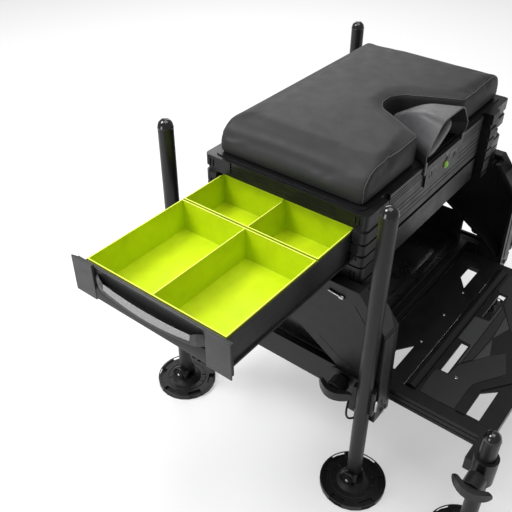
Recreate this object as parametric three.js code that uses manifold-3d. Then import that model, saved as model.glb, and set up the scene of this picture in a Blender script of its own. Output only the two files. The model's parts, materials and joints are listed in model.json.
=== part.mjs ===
// Fishing seat box: base frame on six telescoping legs, box with a drawer, padded lifting seat, footplate.
// Millimetres, +Z up. The angler sits facing -Y, and the drawer slides out along -X.
import * as THREE from 'three';
import { mergeVertices } from 'three/addons/utils/BufferGeometryUtils.js';
import Module from 'manifold-3d';

const wasm = await Module();
wasm.setup();

// Clearances
const fitGap = 0.3;
const slideGap = 0.4;
const overrun = 1;

// Box: three tiers, measured over the faces of the rails
const boxLength = 582;
const boxDepth = 341.2;
const boxUnderside = 468.7;
const baseUnitHeight = 40.1;
const drawerUnitHeight = 76.8;
const seatUnitHeight = 31.1;
const lipThickness = 2.4;
const lipInset = 8;
const lipRadius = 14;
const railThickness = 12;
const panelThickness = 3;
const recessWidth = 16;
const recessDepth = 8;
const halfLength = boxLength / 2;
const halfDepth = boxDepth / 2;
const baseTop = boxUnderside + baseUnitHeight;
const drawerTop = baseTop + drawerUnitHeight;
const seatTop = drawerTop + seatUnitHeight;
const lipTop = seatTop + lipThickness;

// Corner castings of the box
const cornerLength = 70;
const closedCornerLength = 101;
const cornerDepth = 62;
const castingProud = 2;
const castingProudDepth = 6.5;
const castingStep = 2.5;
const castingRadius = 9;
const cornerWall = 19;
const castingSlotWidth = 3;
const castingSlotDepth = 2;
const castingSlotInset = 13;
const castingSlotPitch = 7;
const slotMarginShare = 0.2;
const bossLength = 40;
const bossProud = 9;
const gripDepth = 28;
const gripWidth = 44;
const gripWall = 6;
const gripShares = [0.34, 0.62];
const castingHalfLength = halfLength + castingProud;
const castingHalfDepth = halfDepth + castingProudDepth;

// Grooves in the rails
const fineGroove = 1.6;
const fineGrooveDepth = 1.4;
const wideGroove = 8;
const wideGrooveDepth = 5;

// Seat hinge along the rear edge
const hingePinRadius = 2.5;
const hingePinProud = 6;
const hingeKnuckleRadius = 4.6;
const hingeKnuckleLength = 60;
const hingeKnuckles = 6;
const hingeStandoff = 1;

// Cushion: round over its ends, crisp along its long edges and in its notch
const cushionEndMargin = 15.5;
const cushionSideMargin = 12.6;
const cushionLength = boxLength - 2 * cushionEndMargin;
const cushionDepth = boxDepth - 2 * cushionSideMargin;
const cushionThickness = 63;
const cushionCrown = 3;
const cushionCornerRadius = 10;
const cushionEndRadius = 44;
const cushionEdgeRadius = 7;
const cushionTuck = 3;
const cushionStep = 36;
const notchMouthWidth = 186;
const notchEndWidth = 94;
const notchDepth = 118;
const notchOffset = -4;

// Lifting strap in the notch, shaped like a hood
const strapThickness = 3;
const strapFootWidth = 160;
const strapWaistWidth = 174;
const strapTopWidth = 86;
const strapHeight = 76;
const strapWaistHeight = 24;
const strapLength = 112;
const strapLean = -5;
const strapTipWidth = 20;
const strapTipHeight = 40;
const strapTipThickness = 9;
const strapDomeShare = 0.55;
const strapOffset = -7;
const strapDomeWidth = 92;
const strapDomeTopWidth = 48;
const strapDomeDrop = 5;
const strapStandoff = 3.5;
const strapTabDrop = 22;
const strapTabWidth = 8;

// Anchor plate of the strap, and the bubble level in it
const plateHeight = 46;
const plateDrop = 18;
const plateThickness = 3;
const plateRadius = 6;
const slotArm = 12;
const slotWidth = 3;
const slotInset = 20;
const slotShare = 0.33;
const levelRadius = 6.5;
const levelThickness = 4;
const levelOffset = 6;
const levelRise = 14;

// Drawer
const drawerTravel = 323;
const drawerTail = 138;
const drawerLength = drawerTravel + drawerTail;
const drawerSideRoom = 21.6;
const drawerWidth = boxDepth - 2 * drawerSideRoom;
const drawerWall = 2.5;
const drawerFloor = 2.5;
const drawerSideHeight = 60;
const drawerRecessHeight = 30;
const drawerRecess = 2;
const drawerLipHeight = 4;
const drawerLipOut = 1.5;
const runnerHeight = 3;
const runnerReach = 20;
const frontThickness = 11.7;
const frontMargin = 4.6;
const frontWidth = boxDepth - 2 * frontMargin;
const frontHeight = 72;
const frontPlateWidth = 48;
const pocketDepth = 9;
const pocketTopDrop = 16;
const pocketRise = 6;
const stripGroove = 1.4;
const stripPitch = 4;
const drawerOpeningHalf = drawerWidth / 2 + drawerLipOut + fitGap;
const drawerBottom = baseTop + runnerHeight + slideGap;
const drawerFrontBack = -castingHalfLength - fitGap - drawerTravel;
const drawerRear = drawerFrontBack + drawerLength;

// Handle bar of the drawer
const handleRise = 21;
const handleHeight = 9;
const handleMargin = 51;
const handleLength = frontWidth - 2 * handleMargin;
const handleEndLength = 24;
const handleReach = 8;
const handleBow = 8;
const handleHeadReach = 2.5;

// Inserts of the drawer: one long and two short
const insertSideGap = 0.7;
const insertWidth = drawerWidth - 2 * (drawerWall + insertSideGap);
const insertRim = 60;
const insertWall = 1.6;
const insertDraft = 4;
const insertGap = 4.2;
const insertPlay = 2.9;
const frontInsertLength = 222.5;
const insertSpace = drawerLength - 2 * (drawerWall + fitGap) - insertPlay;
const rearInsertLength = (insertSpace - frontInsertLength) / 2 - insertGap;

// Base frame
const frameTop = 255;
const frameHeight = 60;
const frameHalfLength = castingHalfLength;
const sideRailWidth = 37.5;
const crossRailWidth = 25;
const channelWidth = 11;
const channelDepth = 9;
const channelInset = 7;
const channelRibs = 3;
const frameBottom = frameTop - frameHeight;

// Dished deck between the rails
const deckSink = 16;
const deckRise = 66;
const deckFrontRise = 6;
const deckWall = 3;
const deckDraft = 24;
const deckFlange = 10;
const deckRadius = 30;

// Side castings between the base frame and the box
const castingOut = 26.5;
const castingIn = 22.5;
const castingOuter = halfLength + castingOut;
const castingInner = halfLength - castingIn;
const castingTop = 480;
const castingSkin = 7;
const castingWeb = 7;
const castingLedge = 9;
const kneeTopOut = 20.4;
const kneeOut = 79.4;
const toeOut = 84.4;
const heelOut = 26.4;
const kneeTop = halfDepth + kneeTopOut;
const kneeY = halfDepth + kneeOut;
const kneeZ = 408;
const toeY = halfDepth + toeOut;
const toeZ = 222;
const toeWidth = 23;
const toeHeight = 15;
const heelY = halfDepth + heelOut;
const heelZ = 264;
const archZ = 390;
const archInsetShare = 1.3;
const creaseWidth = 1.6;
const creaseDepth = 1.2;
const creaseInset = 26;

// Legs
const legOut = 62.7;
const legRadius = 15;
const legWall = 2;
const legStandoff = 1;
const legTop = 668;
const legX = castingOuter + legRadius + legStandoff;
const legY = halfDepth + legOut;
const capHeight = 17;
const capRingHeight = 3;
const capRingProud = 0.6;
const capStem = 14;

// Mud feet
const footRadius = 68;
const footThickness = 9;
const footRimHeight = 12;
const footRimWidth = 5;
const footConeRadius = 34;
const footConeHeight = 20;
const footWindows = 6;
const footWindowWidth = 30;
const footWindowDepth = 11;
const footWindowHeight = 6;
const cheekThickness = 7;
const cheekRadius = 14;
const cheekGap = 16;
const pivotHeight = 34;
const pivotRadius = 4;
const footKnobRadius = 13;
const footKnobLength = 12;
const footKnobLobes = 5;
const pointsPerLobe = 4;
const lobeShare = 0.1;
const legBottom = pivotHeight + cheekRadius + overrun;

// Leg clamps
const clampRadius = 22;
const clampBottom = 225;
const clampHeight = 60;
const clampTail = 82;
const clampTailHeight = 46;
const clampTailThickness = 5;
const clampMouthFrom = 1.3;
const clampMouthTo = 2.9;

// T-shaped lock knobs
const knobSpacing = 53;
const knobHeight = 265;
const knobHubRadius = 18;
const knobHubLength = 26.5;
const knobCollarRadius = 11;
const knobCollarLength = 8;
const knobWingLength = 75;
const knobWingWidth = 20;
const knobWingThickness = 12;
const knobWingSweep = 16;
const knobStudRadius = 4;

// Footplate
const plateTop = 227;
const plateReach = 282.4;
const railPlay = 0.5;
const plateFront = halfDepth + plateReach;
const plateHalf = frameHalfLength - sideRailWidth - railPlay;
const sideProfileWidth = 28;
const sideProfileHeight = 30;
const armReach = 230.6;
const armRear = armReach - halfDepth;
const treadThickness = 3.5;
const barRadius = 12.5;
const barOut = 104.9;
const barCenter = halfDepth + barOut;
const barSink = 4;
const slotStart = 15;
const slotDepth = 15;
const slotInner = 50;
const slotMargin = 78.7;
const slotOuter = plateHalf - sideProfileWidth - slotMargin;
const slotNear = barCenter + barRadius + slotStart;
const slotFar = slotNear + slotDepth;
const cornerSlotWidth = 92;
const cornerSlotMargin = 4.7;
const cornerSlotStart = 62;
const cornerSlotDepth = 26;
const cornerSlotOuter = plateHalf - sideProfileWidth - cornerSlotMargin;
const cornerSlotInner = cornerSlotOuter - cornerSlotWidth;
const cornerSlotNear = plateFront - cornerSlotStart;
const cornerSlotFar = cornerSlotNear + cornerSlotDepth;
const ridgeWidth = 18;
const ridgeHeight = 2.5;
const frontFlange = 18;
const footplateLegOut = 58;
const footplateLegAhead = 13;
const footplateLegX = plateHalf + footplateLegOut;
const frontLegY = plateFront + footplateLegAhead;
const frontLegTop = 303;

// Apron between the front rail and the footplate's bar
const apronGapWidth = 84;
const apronGapMargin = 24;
const apronGapStart = 35.4;
const apronGapDepth = 23;
const apronGapSlant = 33;
const apronGapOuter = plateHalf - sideProfileWidth - apronGapMargin;
const apronGapInner = apronGapOuter - apronGapWidth;
const apronGapNear = halfDepth + apronGapStart;
const apronGapFar = apronGapNear + apronGapDepth;

// Fineness of the round stretches
const circleSegments = 24;
const roundSteps = 3;
const domeSteps = 3;
const pinSegments = 12;
const barSegments = 16;
const hubSegments = 20;
const bowSteps = 8;

// Outlines. An outline is a list of [across, up] points.
function rectangle(left, right, low, high) {
  return [[left, low], [right, low], [right, high], [left, high]];
}

// Points along an arc around (x, y), angles in quarter turns from +across towards +up.
function arc(x, y, radius, from, to, steps = roundSteps) {
  const points = [];
  for (let i = 0; i <= steps; i++) {
    const angle = THREE.MathUtils.lerp(from, to, i / steps) * Math.PI / 2;
    points.push([x + radius * Math.cos(angle), y + radius * Math.sin(angle)]);
  }
  return points;
}

// Points along a bow from one point to another, bent towards a third.
function bow(from, towards, to) {
  const ends = [from, towards, to].map(([across, up]) => new THREE.Vector2(across, up));
  return new THREE.QuadraticBezierCurve(...ends).getPoints(bowSteps).map((point) => point.toArray());
}

function roundedRectangle(left, right, low, high, radius) {
  return [
    ...arc(right - radius, low + radius, radius, 3, 4),
    ...arc(right - radius, high - radius, radius, 0, 1),
    ...arc(left + radius, high - radius, radius, 1, 2),
    ...arc(left + radius, low + radius, radius, 2, 3),
  ];
}

function circle(x, y, radius, segments = circleSegments) {
  const points = [];
  for (let i = 0; i < segments; i++) {
    const angle = (i / segments) * Math.PI * 2;
    points.push([x + radius * Math.cos(angle), y + radius * Math.sin(angle)]);
  }
  return points;
}

// Face of an extruded rail, as [distance, height] points, with grooves cut into its outer face.
// Each groove is [share of the height, width, depth].
function groovedProfile(face, back, low, high, grooves) {
  const inward = Math.sign(back - face);
  const points = [[back, low], [face, low]];
  for (const [share, width, depth] of grooves) {
    const middle = low + (high - low) * share;
    points.push([face, middle - width / 2]);
    points.push([face + inward * depth, middle - width / 2]);
    points.push([face + inward * depth, middle + width / 2]);
    points.push([face, middle + width / 2]);
  }
  points.push([face, high], [back, high]);
  return points;
}

// Solids
function signedVolume(positions, indices) {
  const a = new THREE.Vector3();
  const b = new THREE.Vector3();
  const c = new THREE.Vector3();
  let total = 0;
  for (let i = 0; i < indices.length; i += 3) {
    a.fromArray(positions, indices[i] * 3);
    b.fromArray(positions, indices[i + 1] * 3);
    c.fromArray(positions, indices[i + 2] * 3);
    total += a.dot(b.cross(c));
  }
  return total;
}

// Turns a closed geometry into a solid, with its shared corners merged and its faces pointing out.
function toSolid(geometry) {
  const bare = geometry.clone();
  bare.deleteAttribute('normal');
  bare.deleteAttribute('uv');
  const merged = mergeVertices(bare);
  const positions = new Float32Array(merged.attributes.position.array);
  const source = merged.index.array;
  const indices = [];
  for (let i = 0; i < source.length; i += 3) {
    const [a, b, c] = [source[i], source[i + 1], source[i + 2]];
    if (a !== b && b !== c && c !== a) {
      indices.push(a, b, c);
    }
  }
  if (signedVolume(positions, indices) < 0) {
    indices.reverse();
  }
  const triVerts = new Uint32Array(indices);
  return new wasm.Manifold(new wasm.Mesh({ numProp: 3, vertProperties: positions, triVerts }));
}

function toGeometry(solid) {
  const mesh = solid.getMesh();
  const geometry = new THREE.BufferGeometry();
  geometry.setAttribute('position', new THREE.BufferAttribute(new Float32Array(mesh.vertProperties), 3));
  geometry.setIndex(new THREE.BufferAttribute(new Uint32Array(mesh.triVerts), 1));
  geometry.computeVertexNormals();
  return geometry;
}

function prism(outline, low, high, basis) {
  const shape = new THREE.Shape(outline.map(([across, up]) => new THREE.Vector2(across, up)));
  const geometry = new THREE.ExtrudeGeometry(shape, { depth: high - low, bevelEnabled: false });
  geometry.translate(0, 0, low);
  geometry.applyMatrix4(basis);
  return toSolid(geometry);
}

const axisX = new THREE.Vector3(1, 0, 0);
const axisY = new THREE.Vector3(0, 1, 0);
const axisZ = new THREE.Vector3(0, 0, 1);
const backwards = new THREE.Vector3(0, -1, 0);
const basisAlongX = new THREE.Matrix4().makeBasis(axisY, axisZ, axisX);
const basisAlongY = new THREE.Matrix4().makeBasis(axisX, axisZ, backwards);
const basisAlongZ = new THREE.Matrix4();

// Outline in [y, z], drawn out from x = low to x = high.
function prismX(outline, low, high) {
  return prism(outline, low, high, basisAlongX);
}

// Outline in [x, z], drawn out from y = low to y = high.
function prismY(outline, low, high) {
  return prism(outline, -high, -low, basisAlongY);
}

// Outline in [x, y], drawn out from z = low to z = high.
function prismZ(outline, low, high) {
  return prism(outline, low, high, basisAlongZ);
}

function block([left, right], [near, far], [low, high]) {
  return prismZ(rectangle(left, right, near, far), low, high);
}

// Solid of revolution about the Z axis from [radius, height] points.
function turned(points, segments = circleSegments) {
  const profile = points.map(([radius, height]) => new THREE.Vector2(radius, height));
  const geometry = new THREE.LatheGeometry(profile, segments);
  geometry.rotateX(Math.PI / 2);
  return toSolid(geometry);
}

// The same solid seen in a mirror: x and y are 1 or -1.
function mirrored(solid, x, y) {
  const geometry = toGeometry(solid);
  geometry.scale(x, y, 1);
  return toSolid(geometry);
}

function joined(...solids) {
  return solids.reduce((whole, part) => whole.add(part));
}

function cut(solid, ...tools) {
  return tools.reduce((rest, tool) => rest.subtract(tool), solid);
}

// Closed surface through loops of points: each loop joins the next, and the ends are filled.
function loft(loops) {
  const count = loops[0].length;
  const positions = loops.flat(2);
  const indices = [];
  for (let ring = 0; ring + 1 < loops.length; ring++) {
    for (let i = 0; i < count; i++) {
      const a = ring * count + i;
      const b = ring * count + (i + 1) % count;
      indices.push(a, b, b + count, a, b + count, a + count);
    }
  }
  const last = (loops.length - 1) * count;
  for (const [first, flip] of [[0, true], [last, false]]) {
    const loop = loops[first / count];
    for (const [a, b, c] of triangulated(loop)) {
      indices.push(first + a, first + (flip ? c : b), first + (flip ? b : c));
    }
  }
  const geometry = new THREE.BufferGeometry();
  geometry.setAttribute('position', new THREE.Float32BufferAttribute(positions, 3));
  geometry.setIndex(indices);
  return toSolid(geometry);
}

// Triangles that fill a loop of points, each going round the way the loop does.
function triangulated(loop) {
  const box = new THREE.Box3().setFromPoints(loop.map((point) => new THREE.Vector3(...point)));
  const size = box.getSize(new THREE.Vector3()).toArray();
  const flat = size.indexOf(Math.min(...size));
  const [across, up] = [[1, 2], [2, 0], [0, 1]][flat];
  const points = loop.map((point) => new THREE.Vector2(point[across], point[up]));
  if (!THREE.ShapeUtils.isClockWise(points)) {
    return THREE.ShapeUtils.triangulateShape(points, []);
  }
  const backward = THREE.ShapeUtils.triangulateShape(points.slice().reverse(), []);
  return backward.map((triangle) => triangle.map((corner) => points.length - 1 - corner).reverse());
}

// Materials
const finishes = {
  satinBlack: { color: 0x2c2c2f, roughness: 0.5, metalness: 0.4 },
  castBlack: { color: 0x313134, roughness: 0.6, metalness: 0.3 },
  tubeBlack: { color: 0x2a2a2d, roughness: 0.45, metalness: 0.5 },
  glossBlack: { color: 0x161618, roughness: 0.15, metalness: 0 },
  mouldedBlack: { color: 0x242426, roughness: 0.6, metalness: 0 },
  deckBlack: { color: 0x141416, roughness: 0.35, metalness: 0 },
  drawerGrey: { color: 0x2e2e31, roughness: 0.5, metalness: 0.3 },
  handleGrey: { color: 0x77777a, roughness: 0.5, metalness: 0.4 },
  lime: { color: 0xc6e60a, roughness: 0.45, metalness: 0 },
  cushionVinyl: { color: 0x38383a, roughness: 0.65, metalness: 0 },
  strapRubber: { color: 0x55555a, roughness: 0.55, metalness: 0 },
  levelGreen: { color: 0x8fe05a, roughness: 0.1, metalness: 0 },
  steel: { color: 0x9a9a9e, roughness: 0.3, metalness: 1 },
};

function addPiece(group, name, solid, finish) {
  const mesh = new THREE.Mesh(toGeometry(solid), new THREE.MeshStandardMaterial(finishes[finish]));
  mesh.name = name;
  group.add(mesh);
  return mesh;
}

// Tiers of the box

// Corner casting in the quarter that x and y point to: a wall along each face, with proud bands at the
// given shares. Those at the closed end are longer, and the one in front carries a boss.
function cornerCasting(x, y, [low, high], depth, bandShares, endWall = cornerWall) {
  const outerX = -castingHalfLength;
  const outerY = -castingHalfDepth;
  const innerX = outerX + (x < 0 ? cornerLength : closedCornerLength);
  const innerY = outerY + depth;
  const bossed = x > 0 && y < 0;
  const outline = (inset) => {
    const face = outerY + inset;
    const boss = [
      [innerX - bossLength, face],
      [innerX - bossLength + bossProud, face - bossProud],
      [innerX, face - bossProud],
    ];
    return [
      ...(bossed ? boss : [[innerX, face]]),
      [innerX, outerY + cornerWall],
      [outerX + endWall, outerY + cornerWall],
      [outerX + endWall, innerY],
      [outerX + inset, innerY],
      ...arc(outerX + inset + castingRadius, face + castingRadius, castingRadius, 2, 3),
    ];
  };
  let casting = prismZ(outline(castingStep), low, high);
  for (const [from, to] of bandShares) {
    casting = casting.add(prismZ(outline(0), low + (high - low) * from, low + (high - low) * to));
  }
  return mirrored(cut(casting, ...castingSlots(low, high)), -x, -y);
}

// Two upright slots in the end face of a corner casting.
function castingSlots(low, high) {
  const face = -castingHalfLength;
  const margin = (high - low) * slotMarginShare;
  return [0, 1].map((count) => {
    const near = -castingHalfDepth + castingSlotInset + count * castingSlotPitch;
    return block(
      [face - overrun, face + castingSlotDepth],
      [near, near + castingSlotWidth],
      [low + margin, high - margin],
    );
  });
}

const quarters = [[1, 1], [-1, 1], [1, -1], [-1, -1]];

// Long rail at the front (side -1) or back (side 1): ribbed in the middle, set back at both ends.
function longRail(side, low, high, grooves, gap) {
  const face = side * halfDepth;
  const back = side * (halfDepth - railThickness);
  const [left, right] = longRailSpan(gap);
  const rail = prismX(groovedProfile(face, back, low, high, grooves), left, right);
  const setBack = side * (halfDepth - recessDepth);
  const depth = [setBack, face + side * overrun].sort((a, b) => a - b);
  const ends = [[left - overrun, left + recessWidth], [right - recessWidth, right + overrun]];
  return cut(rail, ...ends.map((span) => block(span, depth, [low - overrun, high + overrun])));
}

// Room for a long rail between the corner castings.
function longRailSpan(gap) {
  return [-castingHalfLength + cornerLength + gap, castingHalfLength - closedCornerLength - gap];
}

// End rail at the drawer's end (side -1) or the closed end (side 1).
function endRail(side, low, high, grooves, reach) {
  const face = side * halfLength;
  const back = side * (halfLength - railThickness);
  return prismY(groovedProfile(face, back, low, high, grooves), -reach, reach);
}

const threeFineShares = [0.3, 0.5, 0.7];
const drawerFineShares = [0.445, 0.575, 0.73, 0.85];
const drawerWideShare = 0.2;

function fineGrooves(shares) {
  return shares.map((share) => [share, fineGroove, fineGrooveDepth]);
}

function drawerTierGrooves() {
  return [[drawerWideShare, wideGroove, wideGrooveDepth], ...fineGrooves(drawerFineShares)];
}

function baseUnit() {
  const [low, high] = [boxUnderside, baseTop - fitGap];
  const bandShares = [[0, 0.2], [0.32, 1]];
  const corners = quarters.map(([x, y]) => cornerCasting(x, y, [low, high], cornerDepth, bandShares));
  const reach = castingHalfDepth - cornerDepth;
  const rails = [-1, 1].flatMap((side) => [
    longRail(side, low, high, [], 0),
    endRail(side, low, high, fineGrooves(threeFineShares), reach),
  ]);
  const inside = railThickness / 2;
  const shelf = block(
    [-halfLength + inside, halfLength - inside],
    [-halfDepth + inside, halfDepth - inside],
    [high - panelThickness, high],
  );
  return joined(shelf, ...rails, ...corners);
}

// Ledge that the drawer runs on, along the inside of a long rail.
function runner(side) {
  const [near, far] = [side * (halfDepth - railThickness - runnerReach), side * (halfDepth - overrun)];
  const depth = [near, far].sort((a, b) => a - b);
  return block(longRailSpan(fitGap), depth, [baseTop, baseTop + runnerHeight]);
}

function drawerUnitRail(side) {
  const rail = longRail(side, baseTop, drawerTop - fitGap, drawerTierGrooves(), fitGap);
  return rail.add(runner(side));
}

// Corner of the drawer unit. Those at the closed end have a deep grip, to carry the box by.
function drawerUnitCorner(x, y) {
  const [low, high] = [baseTop, drawerTop - fitGap];
  const depth = x < 0 ? castingHalfDepth - drawerOpeningHalf : cornerDepth;
  const bandShares = [[0.04, 0.3], [0.36, 0.62], [0.68, 0.96]];
  if (x < 0) {
    return cornerCasting(x, y, [low, high], depth, bandShares);
  }
  const casting = cornerCasting(x, y, [low, high], depth, bandShares, gripDepth + gripWall);
  const outer = y * (castingHalfDepth + overrun);
  const grip = block(
    [castingHalfLength - gripDepth, castingHalfLength + overrun],
    [outer, y * (castingHalfDepth - gripWidth)].sort((a, b) => a - b),
    gripShares.map((share) => low + (high - low) * share),
  );
  return cut(casting, grip);
}

function drawerUnitEnd() {
  const reach = castingHalfDepth - cornerDepth - fitGap;
  return endRail(1, baseTop, drawerTop - fitGap, drawerTierGrooves(), reach);
}

// Hinge knuckle about the seat's hinge axis, from x = low to x = high, with a web back to its rail.
function knuckle(low, high, webLow, webHigh) {
  const axis = hingeY();
  const barrel = prismX(circle(axis, drawerTop, hingeKnuckleRadius, barSegments), low, high);
  const web = block([low, high], [halfDepth - overrun, axis], [webLow, webHigh]);
  const bore = circle(axis, drawerTop, hingePinRadius + fitGap, pinSegments);
  return cut(barrel.add(web), prismX(bore, low - overrun, high + overrun));
}

function hingeY() {
  return castingHalfDepth + hingeStandoff;
}

// Places of the knuckles along X: the seat's and the drawer unit's take turns.
function knuckleSpans(first) {
  const spans = [];
  for (let i = first; i < hingeKnuckles; i += 2) {
    const low = (i - hingeKnuckles / 2) * hingeKnuckleLength + fitGap;
    spans.push([low, low + hingeKnuckleLength - 2 * fitGap]);
  }
  return spans;
}

function seatFrame() {
  const [low, high] = [drawerTop, seatTop];
  const bandShares = [[0.28, 1]];
  const corners = quarters.map(([x, y]) => cornerCasting(x, y, [low, high], cornerDepth, bandShares));
  const reach = castingHalfDepth - cornerDepth;
  const rails = [-1, 1].flatMap((side) => [
    longRail(side, low, high, fineGrooves(threeFineShares), 0),
    endRail(side, low, high, fineGrooves(threeFineShares), reach),
  ]);
  const lip = roundedRectangle(
    -halfLength + lipInset,
    halfLength - lipInset,
    -halfDepth + lipInset,
    halfDepth - lipInset,
    lipRadius,
  );
  const knuckles = knuckleSpans(0).map(([from, to]) => {
    return knuckle(from, to, drawerTop, drawerTop + hingeKnuckleRadius);
  });
  return joined(prismZ(lip, seatTop, lipTop), ...rails, ...corners, ...knuckles);
}

function drawerUnitBack() {
  const knuckles = knuckleSpans(1).map(([from, to]) => {
    return knuckle(from, to, drawerTop - hingeKnuckleRadius, drawerTop - fitGap);
  });
  return joined(drawerUnitRail(1), ...knuckles);
}

function hingePin() {
  const round = circle(hingeY(), drawerTop, hingePinRadius, pinSegments);
  const reach = hingeKnuckles * hingeKnuckleLength / 2 + hingePinProud;
  return prismX(round, -reach, reach);
}

// Cushion

// Line of the notch in the cushion's front edge, from its left mouth corner round to its right one.
function notchLine() {
  const near = -cushionDepth / 2;
  const endRadius = notchEndWidth / 2;
  const end = arc(notchOffset, near + notchDepth - endRadius, endRadius, 1.8, 0.2, 2 * roundSteps);
  return [[notchOffset - notchMouthWidth / 2, near], ...end, [notchOffset + notchMouthWidth / 2, near]];
}

// Outline of the cushion seen from above, anticlockwise from the notch.
function cushionOutline() {
  const [right, far] = [cushionLength / 2, cushionDepth / 2];
  const [x, y] = [right - cushionCornerRadius, far - cushionCornerRadius];
  return [
    ...notchLine(),
    ...arc(x, -y, cushionCornerRadius, 3, 4),
    ...arc(x, y, cushionCornerRadius, 0, 1),
    ...arc(-x, y, cushionCornerRadius, 1, 2),
    ...arc(-x, -y, cushionCornerRadius, 2, 3),
  ];
}

// The outline with its long edges divided, so that the rounded skin can follow them.
function dividedOutline(outline, step) {
  const corners = outline.map(([x, y]) => new THREE.Vector2(x, y));
  return corners.flatMap((corner, i) => {
    const next = corners[(i + 1) % corners.length];
    const parts = Math.max(1, Math.round(corner.distanceTo(next) / step));
    return Array.from({ length: parts }, (_, k) => corner.clone().lerp(next, k / parts));
  });
}

function distanceToLine(point, line) {
  const edge = new THREE.Line3();
  const from = new THREE.Vector3(point.x, point.y, 0);
  const nearest = new THREE.Vector3();
  let least = Infinity;
  for (let i = 0; i + 1 < line.length; i++) {
    edge.start.set(...line[i], 0);
    edge.end.set(...line[i + 1], 0);
    edge.closestPointToPoint(from, true, nearest);
    least = Math.min(least, nearest.distanceTo(from));
  }
  return least;
}

// Drop of an edge rounded with a radius, at a distance in from it.
function edgeDrop(inset, radius) {
  const share = THREE.MathUtils.clamp(inset / radius, 0, 1);
  return radius * (1 - Math.sqrt(share * (2 - share)));
}

// Height of the cushion's skin above its base: it rolls down over both ends, and keeps a crisp edge along
// its front, its back and its notch.
function cushionHeight(point) {
  const endInset = cushionLength / 2 - Math.abs(point.x);
  const sideInset = cushionDepth / 2 - Math.abs(point.y);
  const edgeInset = Math.min(sideInset, distanceToLine(point, notchLine()));
  const drop = edgeDrop(endInset, cushionEndRadius) + edgeDrop(edgeInset, cushionEdgeRadius);
  const crownShare = THREE.MathUtils.clamp(sideInset / (cushionDepth / 2), 0, 1);
  return cushionThickness - drop + cushionCrown * Math.sin(crownShare * Math.PI / 2);
}

const cushionRingShares = [0.01, 0.035, 0.08, 0.15, 0.26, 0.45, 0.68, 0.88];

function cushion() {
  const outline = dividedOutline(cushionOutline(), cushionStep);
  const spineY = cushionDepth / 4;
  const spineHalf = cushionLength / 2 - cushionDepth / 4;
  const towardsSpine = (point, share) => {
    const target = new THREE.Vector2(THREE.MathUtils.clamp(point.x, -spineHalf, spineHalf), spineY);
    return point.clone().lerp(target, share);
  };
  const base = lipTop + fitGap;
  const tuckShare = cushionTuck / (cushionDepth / 2);
  const loops = [
    outline.map((point) => [...towardsSpine(point, tuckShare), base]),
    outline.map((point) => [...point, base + cushionHeight(point) / 2]),
    outline.map((point) => [...point, base + cushionHeight(point)]),
  ];
  for (const share of cushionRingShares) {
    loops.push(outline.map((point) => {
      const inner = towardsSpine(point, share);
      return [...inner, base + cushionHeight(inner)];
    }));
  }
  return loft(loops);
}

// Lifting strap: a hood whose mouth faces the angler's legs and whose tip lies in the notch. A section
// across it has its foot, waist and top half as wide as named, and leans as it rises.
function strapSection(y, [foot, waist, top], [low, middle, high], lean) {
  const shoulder = (high - middle) / 3;
  const right = [
    [foot, low],
    [waist, middle],
    [top + shoulder / 2, high - shoulder],
    [top - shoulder / 2, high],
  ];
  const left = right.map(([x, z]) => [-x, z]).reverse();
  return [...right, ...left].map(([x, z]) => {
    return [strapOffset + x, y + lean * (z - low) / (high - low), z];
  });
}

function strapHull(inset) {
  const opening = inset > 0 ? overrun : 0;
  const low = lipTop + fitGap - opening;
  const high = lipTop + strapHeight - inset;
  const tipBase = lipTop + strapTipHeight - strapTipThickness - inset;
  const mouth = strapSection(
    strapMouth() - opening,
    [strapFootWidth / 2 - inset, strapWaistWidth / 2 - inset, strapTopWidth / 2 - inset / 2],
    [low, low + strapWaistHeight, high],
    strapLean,
  );
  const dome = strapSection(
    strapMouth() + strapLength * strapDomeShare,
    [strapDomeWidth / 2 - inset, strapDomeWidth / 2 - inset, strapDomeTopWidth / 2 - inset / 2],
    [low, low + strapWaistHeight, high - strapDomeDrop],
    0,
  );
  const tip = strapSection(
    strapMouth() + strapLength - inset,
    [strapTipWidth / 2 - inset, strapTipWidth / 2 - inset, strapTipWidth / 4],
    [tipBase, tipBase + strapTipThickness / 2, lipTop + strapTipHeight - inset],
    0,
  );
  return loft([mouth, dome, tip]);
}

function strapMouth() {
  return -halfDepth - strapStandoff;
}

function strapTab(side) {
  const outer = strapOffset + side * strapFootWidth / 2;
  const inner = strapOffset + side * (strapFootWidth / 2 - strapTabWidth);
  const front = strapMouth();
  const back = -halfDepth - fitGap;
  const across = [outer, inner].sort((a, b) => a - b);
  return block(across, [front, back], [lipTop - strapTabDrop, lipTop + overrun]);
}

function liftingHood() {
  const shell = strapHull(0).subtract(strapHull(strapThickness));
  return joined(shell, strapTab(-1), strapTab(1));
}

// Plate on the front of the seat unit that holds the strap's ends.
function strapPlate() {
  const back = -halfDepth - fitGap;
  const front = back - plateThickness;
  const half = strapFootWidth / 2 - strapTabWidth - fitGap;
  const low = drawerTop - plateDrop;
  const [left, right] = [strapOffset - half, strapOffset + half];
  const body = prismY(roundedRectangle(left, right, low, low + plateHeight, plateRadius), front, back);
  const groove = [front - overrun, front + plateThickness / 2];
  const slotLow = low + plateHeight * slotShare;
  const slots = [-1, 1].map((side) => hookSlot(strapOffset + side * (half - slotInset), slotLow, groove));
  const arrowLow = low + levelRise + levelRadius + slotWidth;
  const arrow = [
    [levelOffset - slotArm / 2, arrowLow],
    [levelOffset + slotArm / 2, arrowLow],
    [levelOffset, low + plateHeight - slotWidth],
  ];
  const seat = circle(levelOffset, low + levelRise, levelRadius + fitGap);
  return cut(body, ...slots, prismY(arrow, ...groove), prismY(seat, front - overrun, back + overrun));
}

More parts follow.
